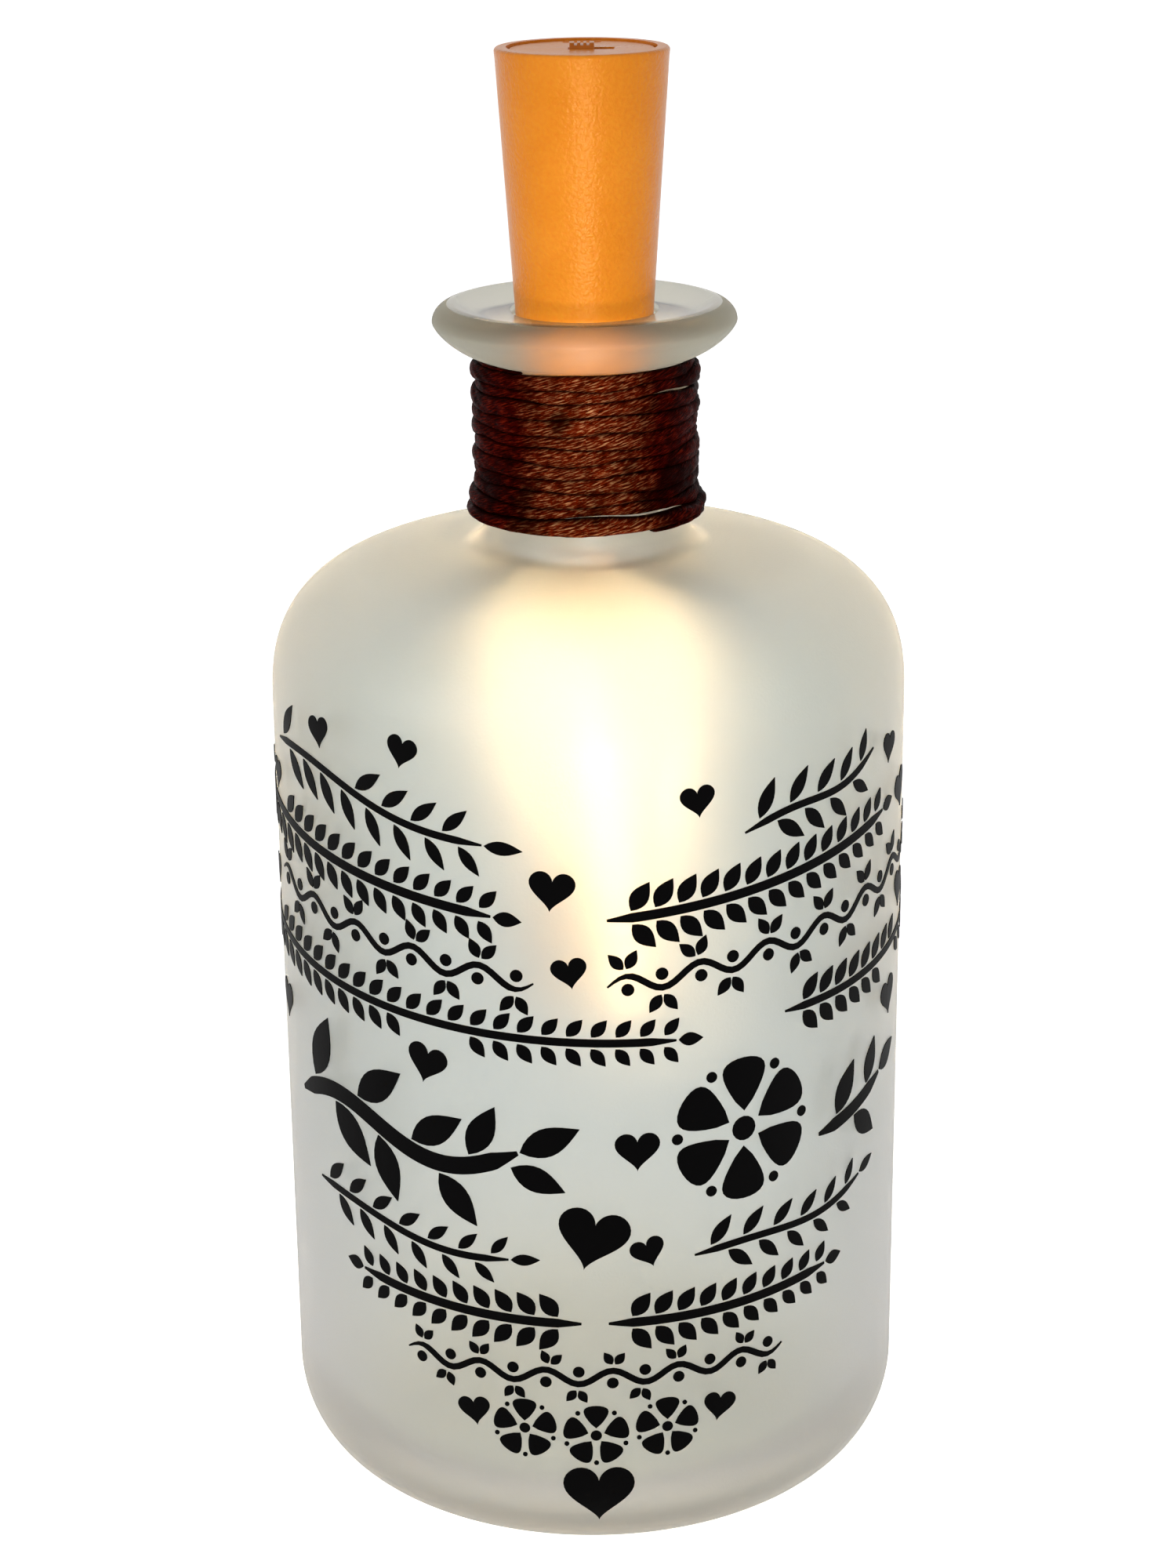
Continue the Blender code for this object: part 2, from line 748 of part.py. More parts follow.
def along(points, distance):
    """The point at a distance along a path, and the way that the path runs there."""
    for first, second in zip(points, points[1:]):
        step = second - first
        if distance <= step.length:
            return first + step.normalized() * distance, step.normalized()
        distance -= step.length
    return points[-1], (points[-1] - points[-2]).normalized()


def build_light_string():
    """The copper string, and its LEDs on the inner side of the turns."""
    route = string_route()
    wire("light_string", route, string_diameter, copper_enamel, stopper_pivot)
    length = sum((b - a).length for a, b in zip(route, route[1:]))
    spiral = route[len(string_drop_shares) + int(string_open_turns * string_loop_points) :]
    gap = least_gap(spiral, string_diameter, string_loop_points)
    print(f"light_string: length {length * 1000:.0f} mm, least gap to itself {gap * 1000:.2f} mm")
    mesh = bpy.data.meshes.new("led_bead")
    form = bmesh.new()
    bmesh.ops.create_uvsphere(form, u_segments=led_around, v_segments=led_along, radius=1)
    bmesh.ops.scale(form, vec=(led_radius, led_radius, led_length / 2), verts=form.verts)
    form.to_mesh(mesh)
    form.free()
    mesh.materials.append(led_resin)
    mesh.shade_smooth()
    inset = string_diameter / 2 + slip_gap + led_radius + led_bow
    for number in range(led_count):
        place, way = along(route, led_lead_in + number * led_spacing)
        inward = -Vector((place.x, place.y, 0)).normalized()
        bead = bpy.data.objects.new(f"led_bead_{number + 1:02d}", mesh)
        bottle_parts.objects.link(bead)
        bead.parent = stopper_pivot
        bead.rotation_mode = "QUATERNION"
        bead.rotation_quaternion = way.to_track_quat("Z", "Y")
        bead.location = place + inward * inset - world_place(stopper_pivot)


def heart_outline(width):
    """A heart's points about its middle, this wide, from the usual heart curve."""
    points = []
    for step in range(heart_points):
        angle = 2 * math.pi * step / heart_points
        across = 16 * math.sin(angle) ** 3
        upward = 13 * math.cos(angle) - 5 * math.cos(2 * angle) - 2 * math.cos(3 * angle)
        upward -= math.cos(4 * angle)
        points.append((across * width / 32, (upward + 2.5) * width / 32))
    return points


def glass_radius_at(height):
    """The bottle's outer radius at a height, on the straight runs between its outline's points."""
    outline = bottle_outside()
    for (upper_radius, upper), (lower_radius, lower) in zip(outline, outline[1:]):
        if upper >= height >= lower and upper > lower:
            share = (upper - height) / (upper - lower)
            return upper_radius + (lower_radius - upper_radius) * share
    return body_radius


def film_point(arc, height, gap):
    """The point at an arc length round the front and a height, this far off the glass's flat side."""
    side_angle = 2 * math.pi / bottle_sides
    angle = arc / body_radius
    inside_side = (angle % side_angle) - side_angle / 2
    off = glass_radius_at(height) * math.cos(side_angle / 2) + gap
    reach = off / math.cos(inside_side)
    return reach * math.sin(angle), -reach * math.cos(angle), height


def heart_fold_lines(middle, height, width):
    """Where a heart bends with the glass: the edges of its sides, and its outline's points."""
    side = 2 * math.pi * body_radius / bottle_sides
    first = math.floor((middle - width) / side)
    last = math.ceil((middle + width) / side)
    folds = [((line * side, 0, 0), (1, 0, 0)) for line in range(first, last)]
    for radius, level in bottle_outside():
        if abs(level - height) < width:
            folds.append(((0, level, 0), (0, 1, 0)))
    return folds


def build_heart(number, azimuth, height, width, tilt):
    """One cut vinyl heart, laid round the bottle's front parallel to the glass."""
    name = f"vinyl_heart_{number:02d}"
    turn = Matrix.Rotation(math.radians(tilt), 2)
    middle = math.radians(azimuth) * body_radius
    form = bmesh.new()
    outline = [turn @ Vector(point) for point in heart_outline(width)]
    form.faces.new([form.verts.new((point.x + middle, point.y + height, 0)) for point in outline])
    for place, way in heart_fold_lines(middle, height, width):
        geometry = form.verts[:] + form.edges[:] + form.faces[:]
        bmesh.ops.bisect_plane(form, geom=geometry, plane_co=place, plane_no=way)
    bmesh.ops.recalc_face_normals(form, faces=form.faces)
    raised = bmesh.ops.extrude_face_region(form, geom=form.faces[:])
    top = {item for item in raised["geom"] if isinstance(item, bmesh.types.BMVert)}
    for vert in form.verts:
        gap = slip_gap + (vinyl_thickness if vert in top else 0)
        vert.co = film_point(vert.co.x, vert.co.y, gap)
    bmesh.ops.recalc_face_normals(form, faces=form.faces)
    if form.calc_volume(signed=True) < 0:
        bmesh.ops.reverse_faces(form, faces=form.faces[:])
    mesh = bpy.data.meshes.new(name)
    form.to_mesh(mesh)
    form.free()
    add_part(name, mesh, black_vinyl)


build_bottle()
build_neck_cord()
build_cork_shell()
build_carrier()
build_knob()
build_switch_plate()
build_cells()
build_cell_spring()
build_return_strip()
build_terminals()
build_resistor()
build_seal_and_leads()
build_light_string()
for heart_number, (azimuth, height_share, width, tilt) in enumerate(hearts, 1):
    build_heart(heart_number, azimuth, height_share * body_straight_top, width, tilt)
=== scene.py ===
"""LED bottle light: a frosted apothecary bottle with a cork-shaped battery light in its mouth.

The finishes and fine forms of each piece, in metres. -Y is the front.
"""

import math

import bmesh
import bpy
from mathutils import Matrix, Vector, noise


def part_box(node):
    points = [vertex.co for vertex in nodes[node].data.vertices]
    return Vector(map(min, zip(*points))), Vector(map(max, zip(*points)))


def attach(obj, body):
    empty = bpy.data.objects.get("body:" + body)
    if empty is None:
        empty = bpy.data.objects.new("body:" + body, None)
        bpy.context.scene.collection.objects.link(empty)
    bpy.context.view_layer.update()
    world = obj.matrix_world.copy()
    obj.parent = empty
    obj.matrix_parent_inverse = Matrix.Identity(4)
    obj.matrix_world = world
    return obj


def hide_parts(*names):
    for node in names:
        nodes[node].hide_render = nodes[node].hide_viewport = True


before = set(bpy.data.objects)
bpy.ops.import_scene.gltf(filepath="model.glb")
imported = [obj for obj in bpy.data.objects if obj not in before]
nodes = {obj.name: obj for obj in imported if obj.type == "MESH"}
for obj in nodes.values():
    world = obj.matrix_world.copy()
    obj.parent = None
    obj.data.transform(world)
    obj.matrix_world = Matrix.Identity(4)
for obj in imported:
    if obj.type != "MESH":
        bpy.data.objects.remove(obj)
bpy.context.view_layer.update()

# Camera
# The photographer stood close in front of the bottle, a little above its lip, and tilted the camera
# down. The lens, the tilt and the slight roll come from a fit of the bottle's outline.
picture_height = 2000
picture_middle = 750
bottle_axis_px = 751.9
focal_length_px = 4047
sensor_length = 36
camera_reach = 0.4437
camera_aim_height = 0.0984
camera_tilt = math.radians(19.06)
camera_roll = math.radians(-0.6)


def in_scene(name, data):
    """A new object of the scene that holds this data."""
    made = bpy.data.objects.new(name, data)
    bpy.context.scene.collection.objects.link(made)
    return made


camera_data = bpy.data.cameras.new("photo_camera")
camera_data.sensor_width = sensor_length
camera_data.lens = focal_length_px / picture_height * sensor_length
camera_data.shift_x = (picture_middle - bottle_axis_px) / picture_height
camera_data.clip_start = 0.01
camera = in_scene("photo_camera", camera_data)
level_right = Vector((1, 0, 0))
level_up = Vector((0, math.sin(camera_tilt), math.cos(camera_tilt)))
camera_right = level_right * math.cos(camera_roll) + level_up * math.sin(camera_roll)
camera_up = level_up * math.cos(camera_roll) - level_right * math.sin(camera_roll)
camera_back = camera_right.cross(camera_up)
camera_turn = Matrix((camera_right, camera_up, camera_back)).transposed()
camera_place = Vector((0, 0, camera_aim_height)) + camera_back * camera_reach
camera.matrix_world = Matrix.Translation(camera_place) @ camera_turn.to_4x4()
bpy.context.scene.camera = camera
bpy.context.scene.view_settings.view_transform = "Standard"

# Light string
# Two enamelled copper wires that run side by side out of the seal, through the neck, and on in a
# spiral down the middle of the bottle. The pair is stiff enough to keep the turns it was wound in.
string_exit = Vector((0, 0, 0.1527))
string_diameter = 0.0007
string_drop = 0.0133
string_open_drop = 0.0115
string_open_turns = 1.5
string_radius = 0.0079
string_pitch = 0.0031
string_turns = 20.2
string_points_a_turn = 40
string_straight_points = 12
wire_lay = 0.018
wire_pair_sides = 12
wire_pair_dent = 0.5
wire_roundness = 0.7
on_axis_within = 0.0001


def string_route():
    """The string's centre line: straight down from the seal, opening into a spiral of even turns."""
    points = []
    for step in range(string_straight_points):
        points.append(string_exit - Vector((0, 0, string_drop * step / string_straight_points)))
    open_steps = round(string_open_turns * string_points_a_turn)
    steps = open_steps + round(string_turns * string_points_a_turn)
    for step in range(steps + 1):
        share = min(step / open_steps, 1)
        radius = string_radius * share * share * (3 - 2 * share)
        drop = string_drop + string_open_drop * share
        drop += string_pitch * max(0, step - open_steps) / string_points_a_turn
        angle = 2 * math.pi * step / string_points_a_turn
        points.append(Vector((radius * math.sin(angle), -radius * math.cos(angle), string_exit.z - drop)))
    return points


def angles(count):
    """Even angles round a full turn."""
    return [2 * math.pi * step / count for step in range(count)]


def mesh_from(form, name):
    """The form as a mesh, with its faces pointing out and all in the same order each run."""
    bmesh.ops.recalc_face_normals(form, faces=form.faces)
    form.verts.index_update()
    count = len(form.verts)

    def rank(part):
        """A number of its own for an edge or a face, from its lowest points."""
        value = 0
        for number in sorted(vert.index for vert in part.verts)[:3]:
            value = value * count + number
        return value

    form.edges.sort(key=rank)
    form.faces.sort(key=rank)
    mesh = bpy.data.meshes.new(name)
    form.to_mesh(mesh)
    form.free()
    return mesh


def skinned(name, form, rings):
    """The mesh of a form whose rings of points are joined one to the next and closed at both ends."""
    for first, second in zip(rings, rings[1:]):
        for side in range(len(first)):
            after = (side + 1) % len(first)
            form.faces.new((first[side], first[after], second[after], second[side]))
    form.faces.new(rings[0])
    form.faces.new(rings[-1])
    return mesh_from(form, name)


def drawn_along(name, path, section):
    """A mesh drawn along a path. section gives its outline, outward and upward, at a distance."""
    form = bmesh.new()
    rings = []
    travelled = 0
    for index, point in enumerate(path):
        before, after = path[max(index - 1, 0)], path[min(index + 1, len(path) - 1)]
        way = (after - before).normalized()
        outward = Vector((point.x, point.y, 0))
        if outward.length < on_axis_within:
            outward = Vector((0, -1, 0))
        outward = (outward - way * outward.dot(way)).normalized()
        upward = way.cross(outward)
        if index:
            travelled += (point - path[index - 1]).length
        rings.append([form.verts.new(point + outward * a + upward * b) for a, b in section(travelled)])
    return skinned(name, form, rings)


def wire_pair_section(distance):
    """The outline of the two wires, which turn about each other, at a distance along them."""
    turn = 2 * math.pi * distance / wire_lay
    points = []
    for angle in angles(wire_pair_sides):
        bulge = abs(math.cos(angle - turn)) ** wire_roundness
        reach = string_diameter / 2 * (1 - wire_pair_dent * (1 - bulge))
        points.append((reach * math.cos(angle), reach * math.sin(angle)))
    return points


def colour(hex_code):
    """An sRGB hex colour as linear red, green and blue, with full alpha."""
    shares = [int(hex_code[place : place + 2], 16) / 255 for place in (1, 3, 5)]
    return [*(s / 12.92 if s <= 0.04045 else ((s + 0.055) / 1.055) ** 2.4 for s in shares), 1]


def feed(node, inputs):
    """Gives a node its inputs: values, sRGB hex colours, sockets, or nodes by their first live output.

    Inputs that share a name go by number: a colour Mix has its share at 0 and its colours at 6 and 7,
    and a MapRange has what it maps from at 1 and 2 and what it maps to at 3 and 4.
    """
    for name, value in inputs.items():
        if isinstance(value, bpy.types.Node):
            value = next(output for output in value.outputs if output.enabled)
        if isinstance(value, bpy.types.NodeSocket):
            node.id_data.links.new(value, node.inputs[name])
        elif isinstance(value, str) and value.startswith("#"):
            node.inputs[name].default_value = colour(value)
        else:
            node.inputs[name].default_value = value


def add(owner, kind, inputs, stops=(), **settings):
    """Adds a node to a material or world, with its settings, its inputs and a colour ramp's stops."""
    made = owner.node_tree.nodes.new(f"ShaderNode{kind}")
    for name, value in settings.items():
        setattr(made, name, value)
    if stops:
        elements = made.color_ramp.elements
        elements.remove(elements[1])
        elements[0].position, elements[0].color = stops[0][0], colour(stops[0][1])
        for place, hex_code in stops[1:]:
            elements.new(place).color = colour(hex_code)
    feed(made, inputs)
    return made


def dress(material, **inputs):
    """Feeds a material's Principled shader. The names of its inputs have underscores for spaces."""
    shader = material.node_tree.nodes["Principled BSDF"]
    feed(shader, {key.replace("_", " "): value for key, value in inputs.items()})


def new_material(name, **inputs):
    """A material whose shader has these inputs."""
    material = bpy.data.materials.new(name)
    material.use_nodes = True
    dress(material, **inputs)
    return material


def mottle(material, scale, detail, colours, roughness):
    """Lets a material drift in patches between two colours and, with them, two roughnesses."""
    place = add(material, "TexCoord", {}).outputs["Object"]
    patches = add(material, "TexNoise", {"Vector": place, "Scale": scale, "Detail": detail})
    shades = add(material, "Mix", {0: patches, 6: colours[0], 7: colours[1]}, data_type="RGBA")
    rough = add(material, "MapRange", {"Value": patches, 3: roughness[0], 4: roughness[1]})
    dress(material, Base_Color=shades, Roughness=rough)


def add_piece(mesh, materials, body, node=None, smooth_angle=40, place=None):
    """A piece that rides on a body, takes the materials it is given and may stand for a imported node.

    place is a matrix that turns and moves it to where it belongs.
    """
    for material in materials:
        mesh.materials.append(material)
    mesh.shade_smooth()
    mesh.set_sharp_from_angle(angle=math.radians(smooth_angle))
    made = in_scene(mesh.name, mesh)
    if place:
        made.matrix_world = place
    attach(made, body)
    if node:
        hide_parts(node)
    return made


# Polyurethane enamel over drawn copper: a clear reddish lacquer on bright metal, so the glints stay
# sharp along the wire while the colour drifts a little from brown to gold.
enamelled_copper = new_material("enamelled_copper", Metallic=1, Coat_Weight=0.6, Coat_Roughness=0.12)
mottle(enamelled_copper, 160, 3, ("#B8794A", "#EBC492"), (0.2, 0.42))

route = string_route()
string_mesh = drawn_along("light_string_pair", route, wire_pair_section)
light_string = add_piece(string_mesh, [enamelled_copper], "stopper", "light_string")

# LEDs
# Ten surface-mount diodes soldered across the two wires and sealed in drops of clear resin, which
# draw out along the wires at both ends. Lit, each drop glows warm white from its middle.
led_radius = 0.0011
led_length = 0.0036
led_around = 20
led_along = 14
led_squareness = 2.6
led_belly = 1.6
led_wobble = 0.07
led_wobble_waves = 1.7
led_glow, led_end_glow = 400, 95
# How bright each drop is: the wires' own resistance dims the lower ones
led_levels = (1.2, 1.9, 2.1, 1.7, 1.2, 0.85, 0.6, 0.42, 0.33, 0.3)


def way_near(path, spot):
    """The way that a path runs where it comes nearest to a spot."""
    index = min(range(1, len(path) - 1), key=lambda number: (path[number] - spot).length)
    return (path[index + 1] - path[index - 1]).normalized()


def resin_drop(name, seed):
    """A drop of resin: round in the middle, drawn out thin at its ends, and never quite even."""
    form = bmesh.new()
    bmesh.ops.create_uvsphere(form, u_segments=led_around, v_segments=led_along, radius=1)
    for vert in form.verts:
        height = vert.co.z
        belly = (1 - abs(height) ** led_squareness) ** (1 / led_belly)
        flat = Vector((vert.co.x, vert.co.y, 0))
        flat = flat.normalized() * belly if flat.length > 0 else flat
        spot = Vector((vert.co.x, vert.co.y, height + seed)) * led_wobble_waves
        wobble = 1 - led_wobble * abs(noise.noise(spot))
        across, outward = flat.x * led_radius * wobble, flat.y * led_radius * wobble
        vert.co = Vector((across, outward, height * led_length / 2))
    return mesh_from(form, name)


# Cured clear resin with a lit warm-white diode inside: bright over the chip and fading to the ends,
# under a glassy skin. Its colour is that of a 3000 K phosphor.
lit_resin = new_material(
    "lit_resin", Base_Color="#FFE2B0", Roughness=0.12, IOR=1.5, Emission_Color="#FFDBA2"
)
place = add(lit_resin, "TexCoord", {}).outputs["Object"]
from_middle = add(lit_resin, "VectorMath", {0: place}, operation="LENGTH")
fade = add(lit_resin, "MapRange", {"Value": from_middle, 2: led_length / 2, 3: led_glow, 4: led_end_glow})
level = add(lit_resin, "Attribute", {}, attribute_name="level").outputs["Fac"]
bright = add(lit_resin, "Math", {0: fade, 1: level}, operation="MULTIPLY")
dress(lit_resin, Emission_Strength=bright)

for number, brightness in enumerate(led_levels, 1):
    bead = f"led_bead_{number:02d}"
    low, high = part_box(bead)
    middle = (low + high) / 2
    drop_mesh = resin_drop(f"resin_drop_{number:02d}", number)
    for point in drop_mesh.attributes.new("level", "FLOAT", "POINT").data:
        point.value = brightness
    along_wires = way_near(route, middle).to_track_quat("Z", "Y")
    drop_place = Matrix.LocRotScale(middle, along_wires, None)
    drop = add_piece(drop_mesh, [lit_resin], "stopper", bead, 180, drop_place)

# Bottle
# A half-litre apothecary bottle, pressed and blown from clear soda-lime glass with a thick rolled
# lip. Its outside was frosted after moulding, and its inside is smooth.
bottle_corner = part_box("glass_bottle")[1]
bottle_height, body_radius = bottle_corner.z, bottle_corner.x
body_straight_top = 0.1127
shoulder_rise = 0.021
shoulder_power = 2.65
neck_bore = 0.0087
neck_radius = 0.0137
neck_fillet = 0.0035
glass_wall = 0.0028
base_thickness = 0.005
base_corner_run = 0.0104
base_corner_rise = 0.0124
push_up_radius = 0.022
push_up_depth = 0.0014
inner_neck_round = 0.002
lip_overhang = 0.00665
lip_height = 0.007
lip_round_run = 0.003
lip_round_rise = 0.0025
lip_foot_step = 0.0006
lip_slope_power = 1.4
mouth_dish_depth = 0.0011
mouth_dish_width = 0.001
mouth_round = 0.0008
cork_fit_gap = 0.0003
cork_low, cork_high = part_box("cork_shell")
cork_bottom_radius = 0.0084
cork_bottom, cork_top, cork_top_radius = cork_low.z, cork_high.z, cork_high.x
cork_taper = (cork_top_radius - cork_bottom_radius) / (cork_top - cork_bottom)
bottle_around = 144
same_place = 0.000001
dish_points = 11


def powered(value, power):
    """A value raised to a power, with its sign kept."""
    return math.copysign(abs(value) ** power, value)


def round_points(centre, run, rise, start, end, steps, power=2):
    """Points on a round or squarish arc from one angle to another, in degrees."""
    points = []
    for step in range(steps + 1):
        angle = math.radians(start + (end - start) * step / steps)
        across = powered(math.cos(angle), 2 / power)
        upward = powered(math.sin(angle), 2 / power)
        points.append((centre[0] + run * across, centre[1] + rise * upward))
    return points


def angle_at_share(share, power):
    """The angle, in degrees, at which a squarish arc has come in to this share of its run."""
    return math.degrees(math.acos(share ** (power / 2)))


def bottle_inside():
    """The inner outline, from the middle of the floor up to the cork."""
    inner_radius = body_radius - glass_wall
    run = inner_radius - neck_bore
    last = angle_at_share(inner_neck_round / run, shoulder_power)
    corner = (inner_radius - base_corner_run, base_thickness + base_corner_rise)
    outline = [(0, base_thickness)]
    outline += round_points(corner, base_corner_run, base_corner_rise, -90, 0, 12)
    rise = shoulder_rise - glass_wall
    outline += round_points((neck_bore, body_straight_top), run, rise, 0, last, 28, shoulder_power)
    edge = (neck_bore + inner_neck_round, outline[-1][1] + inner_neck_round)
    outline += round_points(edge, inner_neck_round, inner_neck_round, 270, 180, 6)
    outline.append((neck_bore, cork_bottom))
    return outline


def bottle_mouth():
    """The bore that the cork sits in, the dished top face and the rolled rim."""
    dish_height = bottle_height - mouth_dish_depth
    bore_top = dish_height - mouth_round
    bore_edge = cork_bottom_radius + cork_taper * (bore_top - cork_bottom) + cork_fit_gap + mouth_round
    rim_centre = (neck_radius + lip_overhang - lip_round_run, bottle_height - lip_round_rise)
    outline = round_points((bore_edge, bore_top), mouth_round, mouth_round, 180, 90, 6)
    outline.append((bore_edge + mouth_dish_width, dish_height))
    outline += round_points(rim_centre, lip_round_run, lip_round_rise, 90, 0, 14)
    return outline


def bottle_outside():
    """The outer outline, from under the rim down to the middle of the foot."""
    slope_foot = (neck_radius + lip_foot_step, bottle_height - lip_round_rise)
    slope_run = lip_overhang - lip_foot_step
    slope_rise = lip_height - lip_round_rise
    outline = round_points(slope_foot, slope_run, slope_rise, 0, -90, 12, lip_slope_power)
    outline.append((neck_radius, bottle_height - lip_height - lip_foot_step))
    run = body_radius - neck_radius
    first = angle_at_share(neck_fillet / run, shoulder_power)
    centre = (neck_radius, body_straight_top)
    shoulder = round_points(centre, run, shoulder_rise, first, 0, 36, shoulder_power)
    fillet = (neck_radius + neck_fillet, shoulder[0][1] + neck_fillet)
    outline += round_points(fillet, neck_fillet, neck_fillet, 180, 270, 8)
    outline += shoulder
    corner = (body_radius - base_corner_run, base_corner_rise)
    outline += round_points(corner, base_corner_run, base_corner_rise, 0, -90, 20)
    outline += round_points((0, 0), push_up_radius, push_up_depth, 0, 90, 10)
    outline[-1] = (0, push_up_depth)
    return outline


def without_repeats(outline):
    """The outline without points that repeat the one before."""
    kept = [outline[0]]
    for point in outline[1:]:
        if math.dist(point, kept[-1]) > same_place:
            kept.append(point)
    return kept


def turned(name, outline, around, ring=False, material_at=None):
    """A turned mesh: an outline of radius and height, swept round the upright axis.

    material_at gives the material's number for a stretch of the outline.
    """
    form = bmesh.new()
    rows = []
    for radius, height in outline:
        turns = angles(around) if radius > 0 else [0]
        places = [(radius * math.sin(turn), -radius * math.cos(turn), height) for turn in turns]
        rows.append([form.verts.new(place) for place in places])
    pairs = list(zip(rows, rows[1:] + rows[:1]))
    for number, (first, second) in enumerate(pairs if ring else pairs[:-1]):
        for step in range(around):
            after = (step + 1) % around
            corners = [first[step % len(first)], first[after % len(first)]]
            corners += [second[after % len(second)], second[step % len(second)]]
            face = form.faces.new(list(dict.fromkeys(corners)))
            face.material_index = material_at(number) if material_at else 0
    return mesh_from(form, name)


# Acid-etched soda-lime glass: the etching leaves a fine sugar-like grain that scatters what is seen
# through it, so near things show soft and far ones melt away. The grain is coarser on the shoulder and
# neck. The colour is darker towards the base corner. Painted shade darkens a band just under the cord,
# and the lip is painted lighter on its outer face and darker on its crest, as painted light, shade and
# reflection; the body's tints are set by height to even out how the lamps light it.
coarse_above = 0.131
# Tints by height: darker towards the base corner, painted shade in the dark band at 0.815 just under the
# cord, and painted light, shade and reflection on the lip from 0.955 up
glass_tints_and_shade = (
    (0, "#B3AFA0"), (0.035, "#C4C4C2"), (0.09, "#D9DADB"), (0.2, "#DADDDF"), (0.4, "#CED4D7"),
    (0.79, "#CCD2D2"), (0.815, "#AAACA9"), (0.845, "#CED3D1"), (0.955, "#DBD6C2"), (0.976, "#CCCCBE"),
    (0.989, "#ACAA98"), (1, "#96927C"),
)
etched_glass = new_material("acid_etched_glass", IOR=1.5, Transmission_Weight=0.86)
place = add(etched_glass, "TexCoord", {}).outputs["Object"]
spread = add(etched_glass, "TexNoise", {"Vector": place, "Scale": 28, "Detail": 3})
grain = add(etched_glass, "TexNoise", {"Vector": place, "Scale": 2600, "Detail": 2})
upright = add(etched_glass, "SeparateXYZ", {0: place}).outputs["Z"]
share = add(etched_glass, "MapRange", {"Value": upright, 2: bottle_height})
tint_and_shade_by_height = add(etched_glass, "ValToRGB", {0: share}, glass_tints_and_shade)
tint = add(
    etched_glass, "Mix", {0: spread, 6: tint_and_shade_by_height, 7: "#FFFFFF"},
    data_type="RGBA", blend_type="SOFT_LIGHT",
)
soft_tint = add(etched_glass, "Mix", {0: 0.25, 6: tint_and_shade_by_height, 7: tint}, data_type="RGBA")
body_rough = add(etched_glass, "MapRange", {"Value": spread, 3: 0.38, 4: 0.46})
coarser = add(
    etched_glass, "MapRange", {"Value": upright, 1: body_straight_top, 2: coarse_above, 4: 0.16}
)
rough = add(etched_glass, "Math", {0: body_rough, 1: coarser}, operation="ADD")
bumps = add(etched_glass, "Bump", {"Height": grain, "Strength": 0.2, "Distance": 0.0001})
dress(etched_glass, Base_Color=soft_tint, Roughness=rough, Normal=bumps)

# Clear soda-lime glass as it left the mould: a smooth face with the faint green of iron in the sand,
# and long soft waves from the blowing.
clear_glass = new_material(
    "clear_soda_glass", Base_Color="#F2F6F0", Roughness=0.3, IOR=1.5, Transmission_Weight=1
)
place = add(clear_glass, "TexCoord", {}).outputs["Object"]
waves = add(clear_glass, "TexNoise", {"Vector": place, "Scale": 60, "Detail": 1})
bumps = add(clear_glass, "Bump", {"Height": waves, "Strength": 0.3, "Distance": 0.0004})
dress(clear_glass, Normal=bumps)


def let_lamps_through(material, share):
    """Lets the lamps' light pass glass instead of leaving a hard shadow behind it."""
    parts = material.node_tree.nodes
    shadow = add(material, "LightPath", {}).outputs["Is Shadow Ray"]
    clear = add(material, "BsdfTransparent", {"Color": (share, share, share, 1)})
    both = add(material, "MixShader", {0: shadow, 1: parts["Principled BSDF"], 2: clear})
    feed(parts["Material Output"], {"Surface": both})


# The dished face round the cork was fire-polished before the etching and took little of it
polished_roughness = 0.17
mouth_glass = etched_glass.copy()
mouth_glass.name = "fire_polished_glass"
mouth_rough = mouth_glass.node_tree.nodes["Principled BSDF"].inputs["Roughness"]
mouth_glass.node_tree.links.remove(mouth_rough.links[0])
mouth_rough.default_value = polished_roughness

let_lamps_through(etched_glass, 0.8)
let_lamps_through(mouth_glass, 0.8)
let_lamps_through(clear_glass, 0.95)

inside, mouth, outside = bottle_inside(), bottle_mouth(), bottle_outside()
outline = without_repeats(inside + mouth + outside)
inside_count = len(without_repeats(inside))
dish_count = inside_count + dish_points


def glass_at(number):
    """The glass of a stretch of the outline: smooth inside, polished in the mouth, etched outside."""
    return 1 if number < inside_count else 2 if number < dish_count else 0


bottle_mesh = turned("frosted_bottle", outline, bottle_around, material_at=glass_at)
glasses = [etched_glass, clear_glass, mouth_glass]
add_piece(bottle_mesh, glasses, "bottle", "glass_bottle", 50)

# Neck cord
# One length of waxed cotton cord, five strands twisted together, wound eleven times round the neck by
# hand. It is pressed flat against the glass, its rows wander, and its ends are tucked in at the back.
cord_rows = 11
cord_start, cord_end = -0.4, cord_rows + 0.4
cord_low, cord_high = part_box("neck_cord")
cord_bottom, cord_top = cord_low.z, cord_high.z
cord_row_height = (cord_top - cord_bottom) / cord_rows
cord_half_thickness = 0.00082
cord_end_thickening = 0.0007
cord_rest = 0.0001
cord_wander = 0.00092
cord_slow_wander, cord_quick_wander = 5.3, 13.1
cord_swell = 0.09
cord_swell_waves = 9.7
cord_row_gap = -0.0001
cord_least_half_height = 0.00012
cord_thick_from = cord_rows - 1.6
cord_back_flatness = 0.3
cord_points_a_turn = 96
cord_end_wander, cord_quick_share = 0.25, 0.6
cord_thinnest = 0.35
cord_groove_power, cord_flank_power, cord_crown_power = 0.8, 0.8, 0.9
cord_groove_depth = 0.4
cord_section_sides = 30
cord_strands = 5
cord_strand_depth = 0.2
cord_lay = 0.018
cord_crease_power = 5
# Places where the glass shows between two rows: the row above, the turn's share, its reach, the gap
cord_slits = (
    (1, 0.352, 0.045, 0.0003), (1, 0.3, 0.03, 0.0002), (8, 0.33, 0.03, 0.00024), (9, 0.4, 0.05, 0.0003),
)


